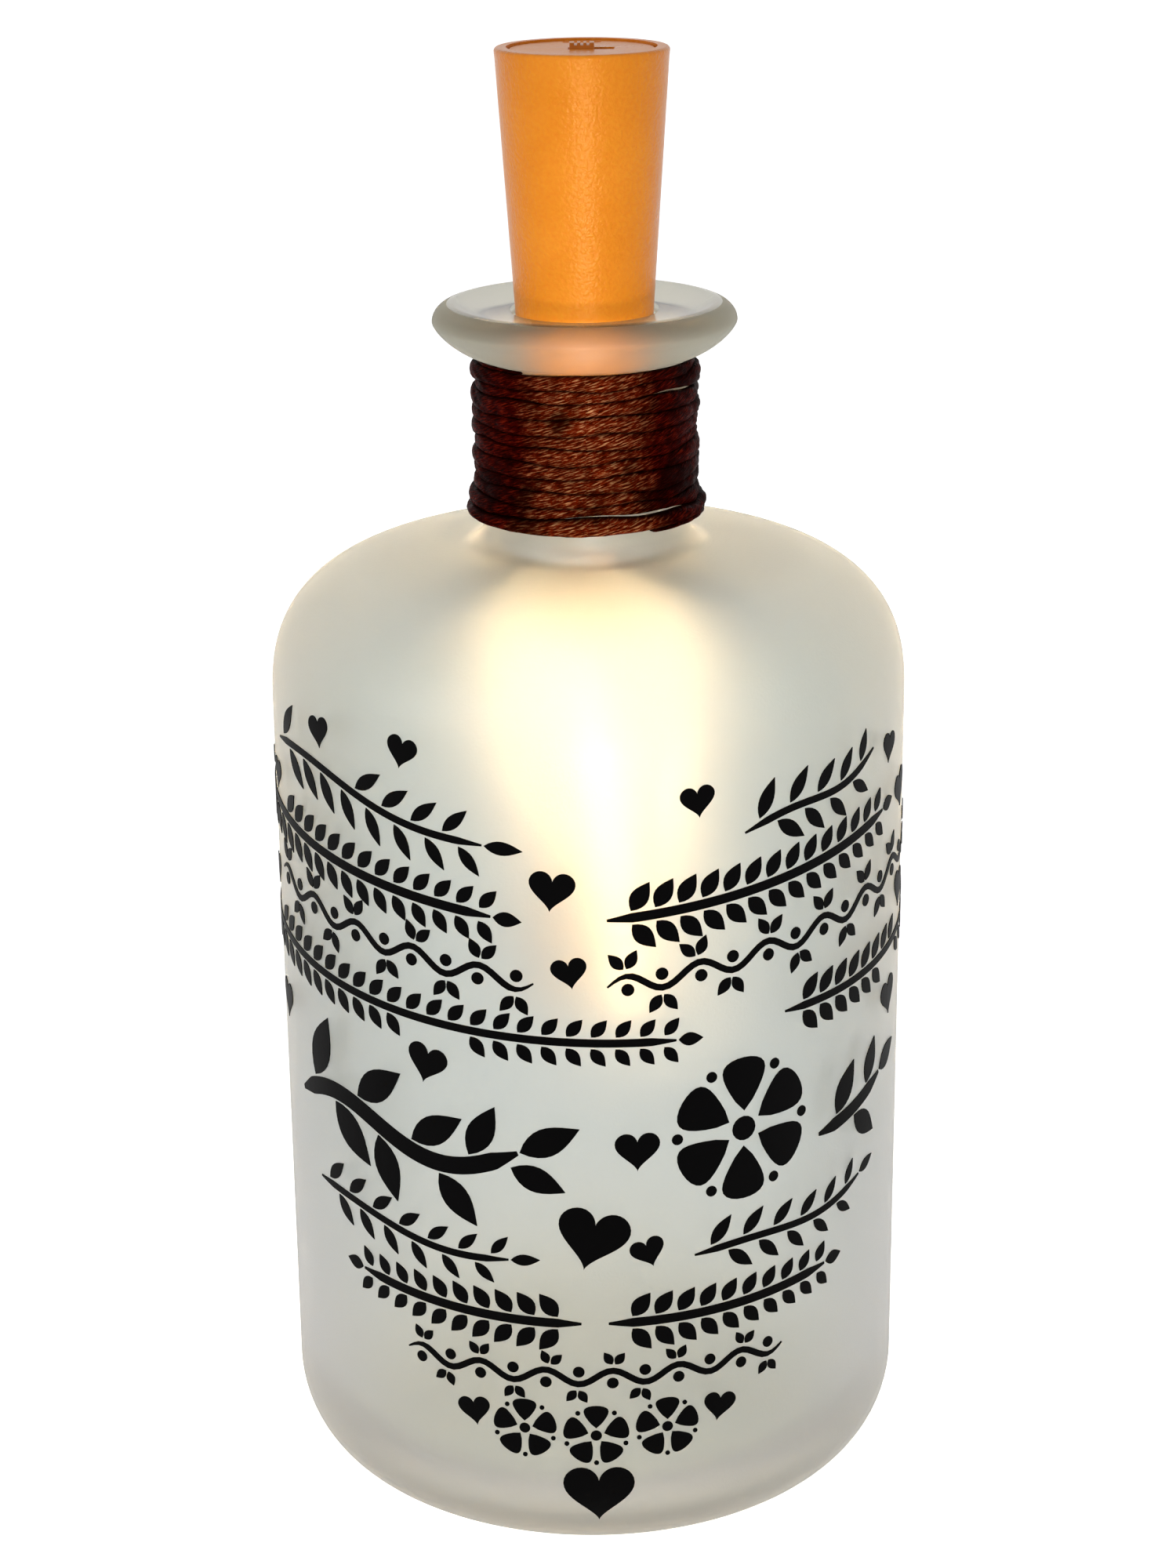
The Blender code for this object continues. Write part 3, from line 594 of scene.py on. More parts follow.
def row_edge(turn):
    """The height of the cord's upper edge after this many turns, which wanders a little."""
    rows = min(max(turn - 0.5, 0), cord_rows)
    ends = min(rows, cord_rows - rows)
    slow = noise.noise(Vector((turn * cord_slow_wander, 0.7, 0)))
    quick = noise.noise(Vector((turn * cord_quick_wander, 5.2, 0)))
    wander = cord_wander * min(1, cord_end_wander + ends) * slow
    wander += cord_quick_share * cord_wander * min(1, ends) * quick
    return cord_top - cord_row_height * rows + (wander if 0 < rows < cord_rows else min(wander, 0))


def slit_below(turn):
    """How far the cord's lower edge draws up at this turn to leave a slit."""
    return sum(
        gap * math.exp(-(((turn - row - share) / reach) ** 2)) for row, share, reach, gap in cord_slits
    )


def neck_cord_mesh():
    """The wound cord: each row fills the height between its own edge and the next row's."""
    form = bmesh.new()
    between = form.verts.layers.float.new("between")
    rings = []
    steps = round((cord_end - cord_start) * cord_points_a_turn)
    for step in range(steps + 1):
        turn = cord_start + step / cord_points_a_turn
        upper, lower = row_edge(turn), row_edge(turn + 1) + slit_below(turn)
        half_up = max((upper - lower - cord_row_gap) / 2, cord_least_half_height)
        late = min(max(turn - cord_thick_from, 0), 1)
        swell = 1 + cord_swell * noise.noise(Vector((turn * cord_swell_waves, 2.1, 0)))
        fullness = min(1, cord_thinnest + half_up / cord_row_height)
        half_out = cord_half_thickness * swell * fullness + cord_end_thickening * late
        middle_radius = neck_radius + cord_rest + half_out
        angle = 2 * math.pi * turn
        outward = Vector((math.sin(angle), math.cos(angle), 0))
        middle = outward * middle_radius + Vector((0, 0, (upper + lower) / 2))
        travelled = angle * middle_radius
        ring = []
        for around in angles(cord_section_sides):
            twist = around - 2 * math.pi * travelled / cord_lay
            crown = abs(math.cos(cord_strands * twist / 2)) ** cord_groove_power
            bulge = 1 - cord_strand_depth * (1 - crown)
            bulge = bulge if math.cos(around) > 0 else 1 - cord_back_flatness * (1 - bulge)
            across = powered(math.cos(around), cord_flank_power) * half_out * bulge
            upward = powered(math.sin(around), cord_crown_power) * half_up
            upward *= 1 - cord_groove_depth + cord_groove_depth * bulge
            vert = form.verts.new(middle + outward * across + Vector((0, 0, upward)))
            # Painted shade: how close this point is to the creases between rows, which the cord's
            # material darkens
            vert[between] = abs(math.sin(around)) ** cord_crease_power
            ring.append(vert)
        rings.append(ring)
    return skinned("wound_neck_cord", form, rings)


# Waxed cotton: dark red dye under a skin of wax, uneven along the cord, with pale fibre streaks painted
# in as glints. A painted highlight makes it lighter at the front and painted shade darkens its sides, and
# painted shade lies dark in the creases between the rows. Fibres of 0.02 mm are drawn about 0.2 mm wide
# so that they show.
winding_radius = 0.0155
waxed_cotton = new_material("waxed_cotton", IOR=1.45, Specular_IOR_Level=0.01, Specular_Tint="#D07038")
place = add(waxed_cotton, "TexCoord", {}).outputs["Object"]
apart = add(waxed_cotton, "SeparateXYZ", {0: place}).outputs
turn = add(waxed_cotton, "Math", {0: apart["X"], 1: apart["Y"]}, operation="ARCTAN2")
arc = add(waxed_cotton, "Math", {0: turn, 1: winding_radius}, operation="MULTIPLY")
slant = add(waxed_cotton, "Math", {0: arc, 1: 0.3, 2: apart["Z"]}, operation="MULTIPLY_ADD")
laid = add(waxed_cotton, "CombineXYZ", {"X": arc, "Y": slant})
along_fibre = add(waxed_cotton, "Mapping", {"Vector": laid, "Scale": (700, 4800, 1)})
fibres = add(waxed_cotton, "TexNoise", {"Vector": along_fibre, "Scale": 1, "Detail": 3, "Roughness": 0.6})
patches = add(waxed_cotton, "TexNoise", {"Vector": place, "Scale": 420, "Detail": 2})
# The ramp's dark and middle stops are the dye; its pale top end paints glints onto the fibres
dyes_and_glints = ((0.36, "#160200"), (0.52, "#8C2404"), (0.66, "#FFB67A"))
dye_and_glints = add(waxed_cotton, "ValToRGB", {0: fibres}, dyes_and_glints)
worn = add(waxed_cotton, "Mix", {0: patches, 6: dye_and_glints, 7: "#360A00"}, data_type="RGBA")
pools = add(waxed_cotton, "TexNoise", {"Vector": place, "Scale": 150, "Detail": 3})
soaked = add(waxed_cotton, "MapRange", {"Value": pools, 1: 0.5, 2: 0.62, 4: 0.75})
deep = add(waxed_cotton, "Mix", {0: soaked, 6: worn, 7: "#1A0300"}, data_type="RGBA")
# Painted highlight: the cord is painted lighter at the front, where the low lamp lights it, and painted
# shade darkens its sides through #8C3A2E
front_highlight = add(waxed_cotton, "MapRange", {"Value": apart["Y"], 1: -0.0158, 2: -0.0112, 3: 1.25, 4: -0.25})
uneven = add(waxed_cotton, "Math", {0: pools, 1: 0.9, 2: -0.45}, operation="MULTIPLY_ADD")
highlight_mask = add(waxed_cotton, "Math", {0: front_highlight, 1: uneven}, operation="ADD", use_clamp=True)
highlight_and_side_shade = add(waxed_cotton, "Mix", {0: highlight_mask, 6: "#8C3A2E", 7: "#FFFFFF"}, data_type="RGBA")
toned = add(waxed_cotton, "Mix", {0: 1, 6: deep, 7: highlight_and_side_shade}, data_type="RGBA", blend_type="MULTIPLY")
# Painted shade: the cord is darkened to near black in the creases between the rows
crease_shade = add(waxed_cotton, "Attribute", {}, attribute_name="between").outputs["Fac"]
shaded = add(waxed_cotton, "Mix", {0: crease_shade, 6: toned, 7: "#0C0100"}, data_type="RGBA")
wax = add(waxed_cotton, "MapRange", {"Value": patches, 1: 0.35, 2: 0.65, 3: 0.36, 4: 0.6})
bumps = add(waxed_cotton, "Bump", {"Height": fibres, "Strength": 0.9, "Distance": 0.0003})
dress(waxed_cotton, Base_Color=shaded, Roughness=wax, Normal=bumps)

add_piece(neck_cord_mesh(), [waxed_cotton], "bottle", "neck_cord", 60)

# Vinyl hearts
# Black self-adhesive vinyl film, cut by a plotter knife, weeded and pressed onto the glass.
film_thickness = 0.00012
film_rest = 0.00006
film_fold = 0.0015
film_fold_upright = 0.001
heart_points = 56
heart_curve_width, heart_curve_middle = 32, -2.5
small_heart, middle_heart, large_heart = 0.0047, 0.006, 0.0097
# Where each heart sits: degrees from the front, height, width, lean in degrees
hearts = (
    (-54.3, 0.11473, small_heart, 8),
    (-33.4, 0.1154, small_heart, -10),
    (18.3, 0.11011, small_heart, 6),
    (66.8, 0.10909, small_heart, -8),
    (-76.2, 0.10413, small_heart, 0),
    (75.5, 0.10109, middle_heart, 12),
    (-6.6, 0.09884, middle_heart, -6),
    (-81.2, 0.08903, small_heart, 10),
    (-3.7, 0.08768, small_heart, 9),
    (-30, 0.0728, middle_heart, -12),
    (-75.4, 0.07111, middle_heart, 0),
    (69.3, 0.07235, middle_heart, 8),
    (76.5, 0.08644, middle_heart, -6),
    (7.6, 0.06232, middle_heart, 0),
    (-0.5, 0.0497, large_heart, -14),
    (9.5, 0.04756, small_heart, 18),
    (-22.1, 0.02265, small_heart, 10),
    (22.5, 0.02288, small_heart, -10),
    (0.4, 0.01116, large_heart, 0),
)


def glass_radius_at(height):
    """The bottle's outer radius at a height."""
    for (upper_radius, upper), (lower_radius, lower) in zip(outside, outside[1:]):
        if upper >= height >= lower and upper > lower:
            return upper_radius + (lower_radius - upper_radius) * (upper - height) / (upper - lower)
    return body_radius


def film_mesh(name, shapes):
    """Flat cut shapes, in arc length round the front and height, pressed onto the glass as film."""
    form = bmesh.new()
    for shape in shapes:
        form.faces.new([form.verts.new((*point, 0)) for point in shape])
    bmesh.ops.remove_doubles(form, verts=form.verts[:], dist=same_place)
    arcs = [vert.co.x for vert in form.verts]
    heights = [vert.co.y for vert in form.verts]
    folds = []
    for number in range(math.ceil(min(arcs) / film_fold), math.floor(max(arcs) / film_fold) + 1):
        folds.append(((number * film_fold, 0, 0), (1, 0, 0)))
    first = math.ceil(min(heights) / film_fold_upright)
    for number in range(first, math.floor(max(heights) / film_fold_upright) + 1):
        level = number * film_fold_upright
        if not base_corner_rise < level < body_straight_top:
            folds.append(((0, level, 0), (0, 1, 0)))
    for spot, way in folds:
        everything = form.verts[:] + form.edges[:] + form.faces[:]
        bmesh.ops.bisect_plane(form, geom=everything, plane_co=spot, plane_no=way)
    bmesh.ops.recalc_face_normals(form, faces=form.faces)
    raised = bmesh.ops.extrude_face_region(form, geom=form.faces[:])
    top = {item for item in raised["geom"] if isinstance(item, bmesh.types.BMVert)}
    for vert in form.verts:
        reach = glass_radius_at(vert.co.y) + film_rest + (film_thickness if vert in top else 0)
        angle = vert.co.x / body_radius
        vert.co = (reach * math.sin(angle), -reach * math.cos(angle), vert.co.y)
    return mesh_from(form, name)


def moved(points, place, lean):
    """Points turned by an angle in degrees and moved to a place."""
    turn = Matrix.Rotation(math.radians(lean), 2)
    return [tuple(turn @ Vector(point) + Vector(place)) for point in points]


def heart(width):
    """A heart's outline about its middle, this wide, from the usual heart curve."""
    points = []
    for angle in angles(heart_points):
        across = 16 * math.sin(angle) ** 3
        upward = 13 * math.cos(angle) - 5 * math.cos(2 * angle)
        upward = upward - 2 * math.cos(3 * angle) - math.cos(4 * angle) - heart_curve_middle
        points.append((across * width / heart_curve_width, upward * width / heart_curve_width))
    return points


# Calendered PVC film: deep black with a satin skin, a faint orange-peel from the rollers, and a
# few paler rubs where it has been squeegeed down.
pvc_film = new_material("calendered_pvc_film", IOR=1.4, Specular_IOR_Level=0.04)
mottle(pvc_film, 90, 4, ("#020202", "#0A090A"), (0.36, 0.56))
place = add(pvc_film, "TexCoord", {}).outputs["Object"]
peel = add(pvc_film, "TexNoise", {"Vector": place, "Scale": 1500, "Detail": 2})
dress(pvc_film, Normal=add(pvc_film, "Bump", {"Height": peel, "Strength": 0.12, "Distance": 0.0001}))

for number, (azimuth, height, width, lean) in enumerate(hearts, 1):
    middle = (math.radians(azimuth) * body_radius, height)
    heart_mesh = film_mesh(f"film_heart_{number:02d}", [moved(heart(width), middle, lean)])
    add_piece(heart_mesh, [pvc_film], "bottle", f"vinyl_heart_{number:02d}")

# Vinyl garlands
# The rest of the design, cut from the same film: rows of leafy sprigs, tendrils with berries and small
# blossoms, which fill the shape of a heart. Each row is transferred in one piece.
mm = 0.001
film_clearance = 0.9 * mm
cut_gap = 0.3 * mm
heart_reach = 0.56
route_step = 0.8 * mm
leaf_points = 9
leaf_widest = 0.85
petal_points = 10
petal_swell, petal_end, petal_fullness = 0.75, 5, 0.77
stem_tip, stem_growth = 0.25, 0.18
sprig_taper, tip_leaf_size = 0.3, 0.8
tendril_leaf_slant = 36
blossom_eye, petal_foot, petal_width, bud_place, bud_size = 0.17, 0.25, 4.1, 0.93, 0.075
dot_points = 16


def clear_of_hearts(place, reach=0):
    """Whether a flat place keeps clear of every heart."""
    for azimuth, height, width, _ in hearts:
        across = math.radians(azimuth) * body_radius - place[0]
        if math.hypot(across, height - place[1]) < width * heart_reach + film_clearance + reach:
            return False
    return True


def swept(start, end, sag=0, waves=0, swing=0):
    """Points in mm from a start to an end, which sag in the middle and swing up and down in waves."""
    start, end = Vector(start) * mm, Vector(end) * mm
    steps = round((end - start).length / route_step)
    points = []
    for step in range(steps + 1):
        share = step / steps
        rise = -4 * sag * mm * share * (1 - share) + swing * mm * math.sin(2 * math.pi * waves * share)
        points.append(start.lerp(end, share) + Vector((0, rise)))
    return points


def heading(route, index):
    """The unit vector along a route at one of its points."""
    return (route[min(index + 1, len(route) - 1)] - route[max(index - 1, 0)]).normalized()


def stem(route, width):
    """A stem's cut shape: four-sided stretches along the route, drawn out thin at the tips."""
    sides = []
    for index, point in enumerate(route):
        way = heading(route, index)
        tip = min(1, stem_tip + stem_growth * min(index, len(route) - 1 - index))
        across = Vector((-way.y, way.x)) * width / 2 * tip
        sides.append((point + across, point - across))
    shapes = []
    for (upper, lower), (next_upper, next_lower) in zip(sides, sides[1:]):
        if clear_of_hearts((upper + next_lower) / 2):
            shapes.append([tuple(corner) for corner in (lower, next_lower, next_upper, upper)])
    return shapes


def leaf(foot, way, length, width):
    """A pointed leaf's outline from its foot, along a way."""
    side = Vector((-way.y, way.x))
    upper, lower = [], []
    for step in range(leaf_points + 1):
        half = width / 2 * math.sin(math.pi * (step / leaf_points) ** leaf_widest)
        upper.append(foot + way * length * step / leaf_points + side * half)
        lower.append(foot + way * length * step / leaf_points - side * half)
    return [tuple(point) for point in lower[:-1] + upper[:0:-1]]


def petal(foot, way, length, width):
    """A petal's outline: pointed at its foot and round at its end."""
    side = Vector((-way.y, way.x))
    upper, lower = [], []
    for step in range(petal_points + 1):
        share = 1 - (1 - step / petal_points) ** 2
        half = width / 2 * share**petal_swell * math.sqrt(1 - share**petal_end) / petal_fullness
        upper.append(foot + way * length * share + side * half)
        lower.append(foot + way * length * share - side * half)
    return [tuple(point) for point in lower[:-1] + upper[:0:-1]]


def dot(middle, radius):
    """A round dot's outline."""
    across, height = middle
    turns = angles(dot_points)
    return [(across + radius * math.cos(turn), height + radius * math.sin(turn)) for turn in turns]


def turned_way(way, degrees):
    """A unit vector turned by an angle."""
    return Matrix.Rotation(math.radians(degrees), 2) @ way


def add_leaf(shapes, foot, out, length, width, gap=0):
    """Adds a leaf to the shapes where it keeps clear of the hearts."""
    if clear_of_hearts(foot + out * length / 2, length / 2):
        shapes.append(leaf(foot + out * gap, out, length, width))


def sprig(route, leaf_size, every, stem_width, lean, pairs=False):
    """A stem with leaves along it, on both sides at once or in turn, and one at its tip."""
    length, width = leaf_size[0] * mm, leaf_size[1] * mm
    shapes = stem(route, stem_width * mm)
    spacing = max(1, round(every * mm / route_step))
    for count, index in enumerate(range(spacing, len(route) - 2, spacing)):
        way = heading(route, index)
        size = 1 - sprig_taper * index / len(route)
        for hand in (1, -1) if pairs else ((1, -1)[count % 2],):
            side = Vector((-way.y, way.x)) * hand
            foot = route[index] + side * (stem_width * mm / 2 + cut_gap)
            out = turned_way(way, hand * lean)
            add_leaf(shapes, foot, out, length * size, width * size)
    way = heading(route, len(route) - 1)
    add_leaf(shapes, route[-1], way, length * tip_leaf_size, width * tip_leaf_size, cut_gap)
    return shapes


def tendril(route, waves, stem_width, berry, leaf_size):
    """A thin wavy stem with a berry in each bend and a pair of leaves over each crest."""
    shapes = stem(route, stem_width * mm)
    length, width = leaf_size[0] * mm, leaf_size[1] * mm
    for bend in range(round(2 * waves)):
        index = round((2 * bend + 1) / (4 * waves) * (len(route) - 1))
        way = heading(route, index)
        side = Vector((-way.y, way.x)) * (1, -1)[bend % 2]
        middle = route[index] - side * (stem_width * mm / 2 + berry * mm + 2 * cut_gap)
        if clear_of_hearts(middle, berry * mm):
            shapes.append(dot(middle, berry * mm))
        foot = route[index] + side * (stem_width * mm / 2 + cut_gap)
        for slant in (-tendril_leaf_slant, tendril_leaf_slant):
            add_leaf(shapes, foot, turned_way(side, slant), length, width, cut_gap)
    return shapes


def blossom(middle, radius, petals=5, turn=90):
    """A blossom: round-ended petals about a dot, with a small dot between each two."""
    middle, reach = Vector(middle) * mm, radius * mm
    shapes = [dot(middle, reach * blossom_eye)]
    for number in range(petals):
        way = turned_way(Vector((1, 0)), turn + 360 * number / petals)
        foot = middle + way * radius * mm * petal_foot
        shapes.append(petal(foot, way, reach * (1 - petal_foot), reach * petal_width / petals))
        between = turned_way(way, 180 / petals)
        shapes.append(dot(middle + between * radius * mm * bud_place, reach * bud_size))
    return shapes


garlands = {
    "top_left": sprig(swept((-55, 110.3), (-14, 104.6), -1, 1, 1), (6.4, 2.3), 2.4, 1, 48),
    "top_right": sprig(swept((20.5, 105), (45, 110.8), 0.6, 1, 0.8), (5.8, 2.2), 2.4, 1, 48),
    "second_left": sprig(swept((-81, 103.4), (-13, 95), 0.3), (4.8, 2.5), 3.2, 1.3, 52, True),
    "second_right": sprig(swept((2, 95), (48.5, 101), 0.5), (4.6, 2.5), 3.2, 1.3, 52, True),
    "third_left": tendril(swept((-56, 91.2), (-7.5, 86.2), 0, 5, 1.2), 5, 0.9, 0.85, (2.9, 1.6)),
    "third_right": tendril(swept((2, 85.8), (80, 94.4), 0, 8, 1.2), 8, 0.9, 0.85, (2.9, 1.6)),
    "fourth_left": sprig(swept((-80, 85), (11, 77.8), 1.4), (4.2, 2.3), 2.8, 1.1, 50, True),
    "fourth_right": sprig(swept((27, 78.8), (78, 84.2), 1.4), (4.2, 2.3), 2.8, 1.1, 50, True),
    "bold_left": sprig(swept((-50, 60.8), (-10, 62), 0, 1, 2.8), (11, 5), 4.8, 2.5, 48),
    "bold_right": sprig(swept((33.5, 59), (49, 62.6), 0.6), (8.4, 4), 4, 2, 50),
    "bold_blossom": blossom((20.6, 63.6), 10.2, 6),
    "sixth_left": sprig(swept((-45, 49.4), (-11.5, 46.3), 0.5, 1, 0.6), (5, 2), 2.5, 1, 45),
    "sixth_right": sprig(swept((13.5, 46.4), (43, 49.6), 0.8, 1, 0.6), (5, 2), 2.5, 1, 45),
    "seventh_left": sprig(swept((-1.8, 37.4), (-35, 39.2), 0.4), (4.2, 2.4), 3.2, 1.3, 52, True),
    "seventh_right": sprig(swept((1.8, 37.4), (35, 39.2), 0.4), (4.2, 2.4), 3.2, 1.3, 52, True),
    "eighth": tendril(swept((-27, 30), (27, 30), 0.7, 6, 1), 6, 0.9, 0.8, (2.1, 1.3)),
    "last_left": blossom((-9.7, 21.2), 4.4) + blossom((0, 20.5), 4.5),
    "last_right": blossom((9.7, 21.2), 4.4),
}
for name, shapes in garlands.items():
    add_piece(film_mesh(f"film_garland_{name}", shapes), [pvc_film], "bottle")

# Cork-shaped shell
# The shell of the light: orange plastic moulded to a cork's taper. It holds the carrier from above
# and has a ledge for the terminal board and a hole for the string's seal in its floor.
cork_edge_round = 0.0005
cork_wall = 0.0016
cork_floor = 0.0016
cradle_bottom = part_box("battery_carrier")[0].z
shell_floor_top = cork_bottom + cork_floor
shell_ledge_share = 0.26
shell_ledge_top = shell_floor_top + shell_ledge_share * (cradle_bottom - shell_floor_top)
shell_ledge_width = 0.0013
seal_hole_radius = 0.0023
shell_around = 96
shell_step = 0.0008


def cork_radius_at(height):
    """The shell's outer radius at a height."""
    return cork_bottom_radius + cork_taper * (height - cork_bottom)


def shell_outline():
    """The shell's outline: over the top edge, down its side, in to the hole, and up the inside."""
    edge = (cork_top_radius - cork_edge_round, cork_top - cork_edge_round)
    points = [(cork_radius_at(cork_top) - cork_wall, cork_top)]
    points += round_points(edge, cork_edge_round, cork_edge_round, 90, 0, 6)
    rows = round((cork_top - cork_edge_round - cork_bottom) / shell_step)
    for row in range(1, rows):
        height = edge[1] + (cork_bottom - edge[1]) * row / rows
        points.append((cork_radius_at(height), height))
    foot = (cork_bottom_radius - cork_edge_round, cork_bottom + cork_edge_round)
    points += round_points(foot, cork_edge_round, cork_edge_round, 0, -90, 5)
    bore = cork_radius_at(shell_ledge_top) - cork_wall
    points += [(seal_hole_radius, cork_bottom), (seal_hole_radius, shell_floor_top)]
    points += [(bore - shell_ledge_width, shell_floor_top), (bore - shell_ledge_width, shell_ledge_top)]
    points += [(bore, shell_ledge_top)]
    return without_repeats(points)


# Polypropylene, injection moulded in a spark-eroded tool: a satin orange whose fine pits break the
# light into grain, a little lighter where it was gripped and polished.
moulded_plastic = new_material(
    "moulded_polypropylene", IOR=1.49, Specular_IOR_Level=0.4, Specular_Tint="#FFC488"
)
place = add(moulded_plastic, "TexCoord", {}).outputs["Object"]
pits = add(moulded_plastic, "TexNoise", {"Vector": place, "Scale": 1900, "Detail": 3})
handling = add(moulded_plastic, "TexNoise", {"Vector": place, "Scale": 110, "Detail": 4})
orange = add(moulded_plastic, "Mix", {0: handling, 6: "#E47F0E", 7: "#F8992E"}, data_type="RGBA")
speckled = add(
    moulded_plastic, "Mix", {0: 0.2, 6: orange, 7: pits}, data_type="RGBA", blend_type="OVERLAY"
)
satin = add(moulded_plastic, "MapRange", {"Value": handling, 1: 0.3, 2: 0.7, 3: 0.25, 4: 0.36})
bumps = add(moulded_plastic, "Bump", {"Height": pits, "Strength": 0.7, "Distance": 0.0002})
dress(moulded_plastic, Base_Color=speckled, Roughness=satin, Normal=bumps)

shell_mesh = turned("moulded_shell", shell_outline(), shell_around, ring=True)
add_piece(shell_mesh, [moulded_plastic], "stopper", "cork_shell")

# String seal
# A silicone plug that fills the hole in the shell's floor and grips the two wires. Its flange lies on
# the floor inside.
seal_low, seal_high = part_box("string_seal")
seal_radius = 0.0022
seal_flange_height = 0.0008
seal_edge_round = 0.0002
seal_around = 48


def stepped(steps, edge, arc_steps=3):
    """An outline through radius and height corners, with every outer corner rounded."""
    corners = [Vector(step) for step in steps]
    points = [steps[0]]
    for before, corner, after in zip(corners, corners[1:], corners[2:]):
        first = corner - (corner - before).normalized() * edge
        last = corner + (after - corner).normalized() * edge
        for step in range(arc_steps + 1):
            share = step / arc_steps
            points.append(tuple(first.lerp(corner, share).lerp(corner.lerp(last, share), share)))
    return [*points, steps[-1]]


# Silicone rubber, moulded: charcoal, soft and slightly dusty, with a dull even sheen.
silicone = new_material("moulded_silicone", IOR=1.41)
mottle(silicone, 900, 4, ("#26262A", "#4A4A4E"), (0.5, 0.8))

seal_flange_bottom = seal_high.z - seal_flange_height
seal_steps = [(0, seal_high.z), (seal_high.x, seal_high.z), (seal_high.x, seal_flange_bottom)]
seal_steps += [(seal_radius, seal_flange_bottom), (seal_radius, seal_low.z), (0, seal_low.z)]
seal_mesh = turned("silicone_seal", stepped(seal_steps, seal_edge_round), seal_around)
add_piece(seal_mesh, [silicone], "stopper", "string_seal")

# Boards
# Two small discs of fibreglass laminate: one carries the pin and the blade at the bottom of the
# shell, the other lies under the switch in the carrier.
fine_edge = 0.00008
smooth_below = math.radians(35)

smoothing = bpy.data.node_groups.new("smooth_by_angle", "GeometryNodeTree")
for way in ("INPUT", "OUTPUT"):
    smoothing.interface.new_socket("Geometry", in_out=way, socket_type="NodeSocketGeometry")
kinds = ("MergeByDistance", "RemoveAttribute", "SetShadeSmooth", "SetShadeSmooth", "InputMeshEdgeAngle")
weld, normals_off, faces_smooth, edges_sharp, edge_angle = (
    smoothing.nodes.new(f"GeometryNode{kind}") for kind in kinds
)
steep = smoothing.nodes.new("FunctionNodeCompare")
edges_sharp.domain = "EDGE"
feed(weld, {"Distance": same_place})
feed(normals_off, {"Name": "custom_normal"})
feed(steep, {"A": edge_angle.outputs["Unsigned Angle"], "B": smooth_below})
feed(edges_sharp, {"Shade Smooth": False, "Selection": steep.outputs[0]})
group_in, group_out = smoothing.nodes.new("NodeGroupInput"), smoothing.nodes.new("NodeGroupOutput")
chain = (group_in, weld, normals_off, faces_smooth, edges_sharp, group_out)
for first, second in zip(chain, chain[1:]):
    smoothing.links.new(first.outputs[0], second.inputs[0])


def finish_node(name, material, edge):
    """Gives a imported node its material, smooths its curved sides and eases its edges."""
    item = nodes[name]
    for slot in item.material_slots:
        slot.material = material
    item.modifiers.new("smooth_by_angle", "NODES").node_group = smoothing
    easing = item.modifiers.new("eased_edges", "BEVEL")
    easing.width, easing.segments, easing.angle_limit = edge, 2, smooth_below


# Fibreglass laminate under green solder mask: the glass weave, a thread each 0.25 mm, shows faintly
# through the glossy mask.
laminate = new_material("solder_masked_laminate", Roughness=0.28, IOR=1.5)
place = add(laminate, "TexCoord", {}).outputs["Object"]
warp = add(laminate, "TexWave", {"Vector": place, "Scale": 640}, bands_direction="X").outputs["Fac"]
weft = add(laminate, "TexWave", {"Vector": place, "Scale": 640}, bands_direction="Y").outputs["Fac"]
weave = add(laminate, "Math", {0: warp, 1: weft}, operation="MULTIPLY")
green = add(laminate, "Mix", {0: weave, 6: "#0E4A22", 7: "#1C6A36"}, data_type="RGBA")
bumps = add(laminate, "Bump", {"Height": weave, "Strength": 0.15, "Distance": 0.00003})
dress(laminate, Base_Color=green, Normal=bumps)
finish_node("terminal_board", laminate, fine_edge)
finish_node("switch_plate", laminate, fine_edge)

# Contacts
# Strip brass, blanked and bent: the centre pin and the side blade that the carrier meets, the top
# contact, the return strip, the floor rivet and the switch's wiper.
# Rolled brass, lightly tarnished: warm and mirror-like along the rolling, browner in patches.
brass = new_material("rolled_brass", Metallic=1)
place = add(brass, "TexCoord", {}).outputs["Object"]
rolled = add(brass, "Mapping", {"Vector": place, "Scale": (5200, 5200, 260)})
streaks = add(brass, "TexNoise", {"Vector": rolled, "Scale": 1, "Detail": 2})
tarnish = add(brass, "TexNoise", {"Vector": place, "Scale": 380, "Detail": 4})
shades = add(brass, "Mix", {0: tarnish, 6: "#C69A4C", 7: "#E6C477"}, data_type="RGBA")
gloss = add(brass, "MapRange", {"Value": streaks, 3: 0.18, 4: 0.4})
dress(brass, Base_Color=shades, Roughness=gloss)
for name in ("centre_pin", "side_blade", "top_contact", "return_strip", "floor_rivet", "switch_wiper"):
    finish_node(name, brass, fine_edge)

# Resistor
# A carbon film resistor that keeps the current low: a lacquered rod between two pressed steel caps,
# soldered under the terminal board.
resistor_low, resistor_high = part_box("series_resistor")
resistor_middle = (resistor_low + resistor_high) / 2
resistor_radius = 0.0008
resistor_half = (resistor_high.x - resistor_low.x) / 2
resistor_cap_length = 0.0006
resistor_waist_share = 0.8
resistor_edge = 0.00012

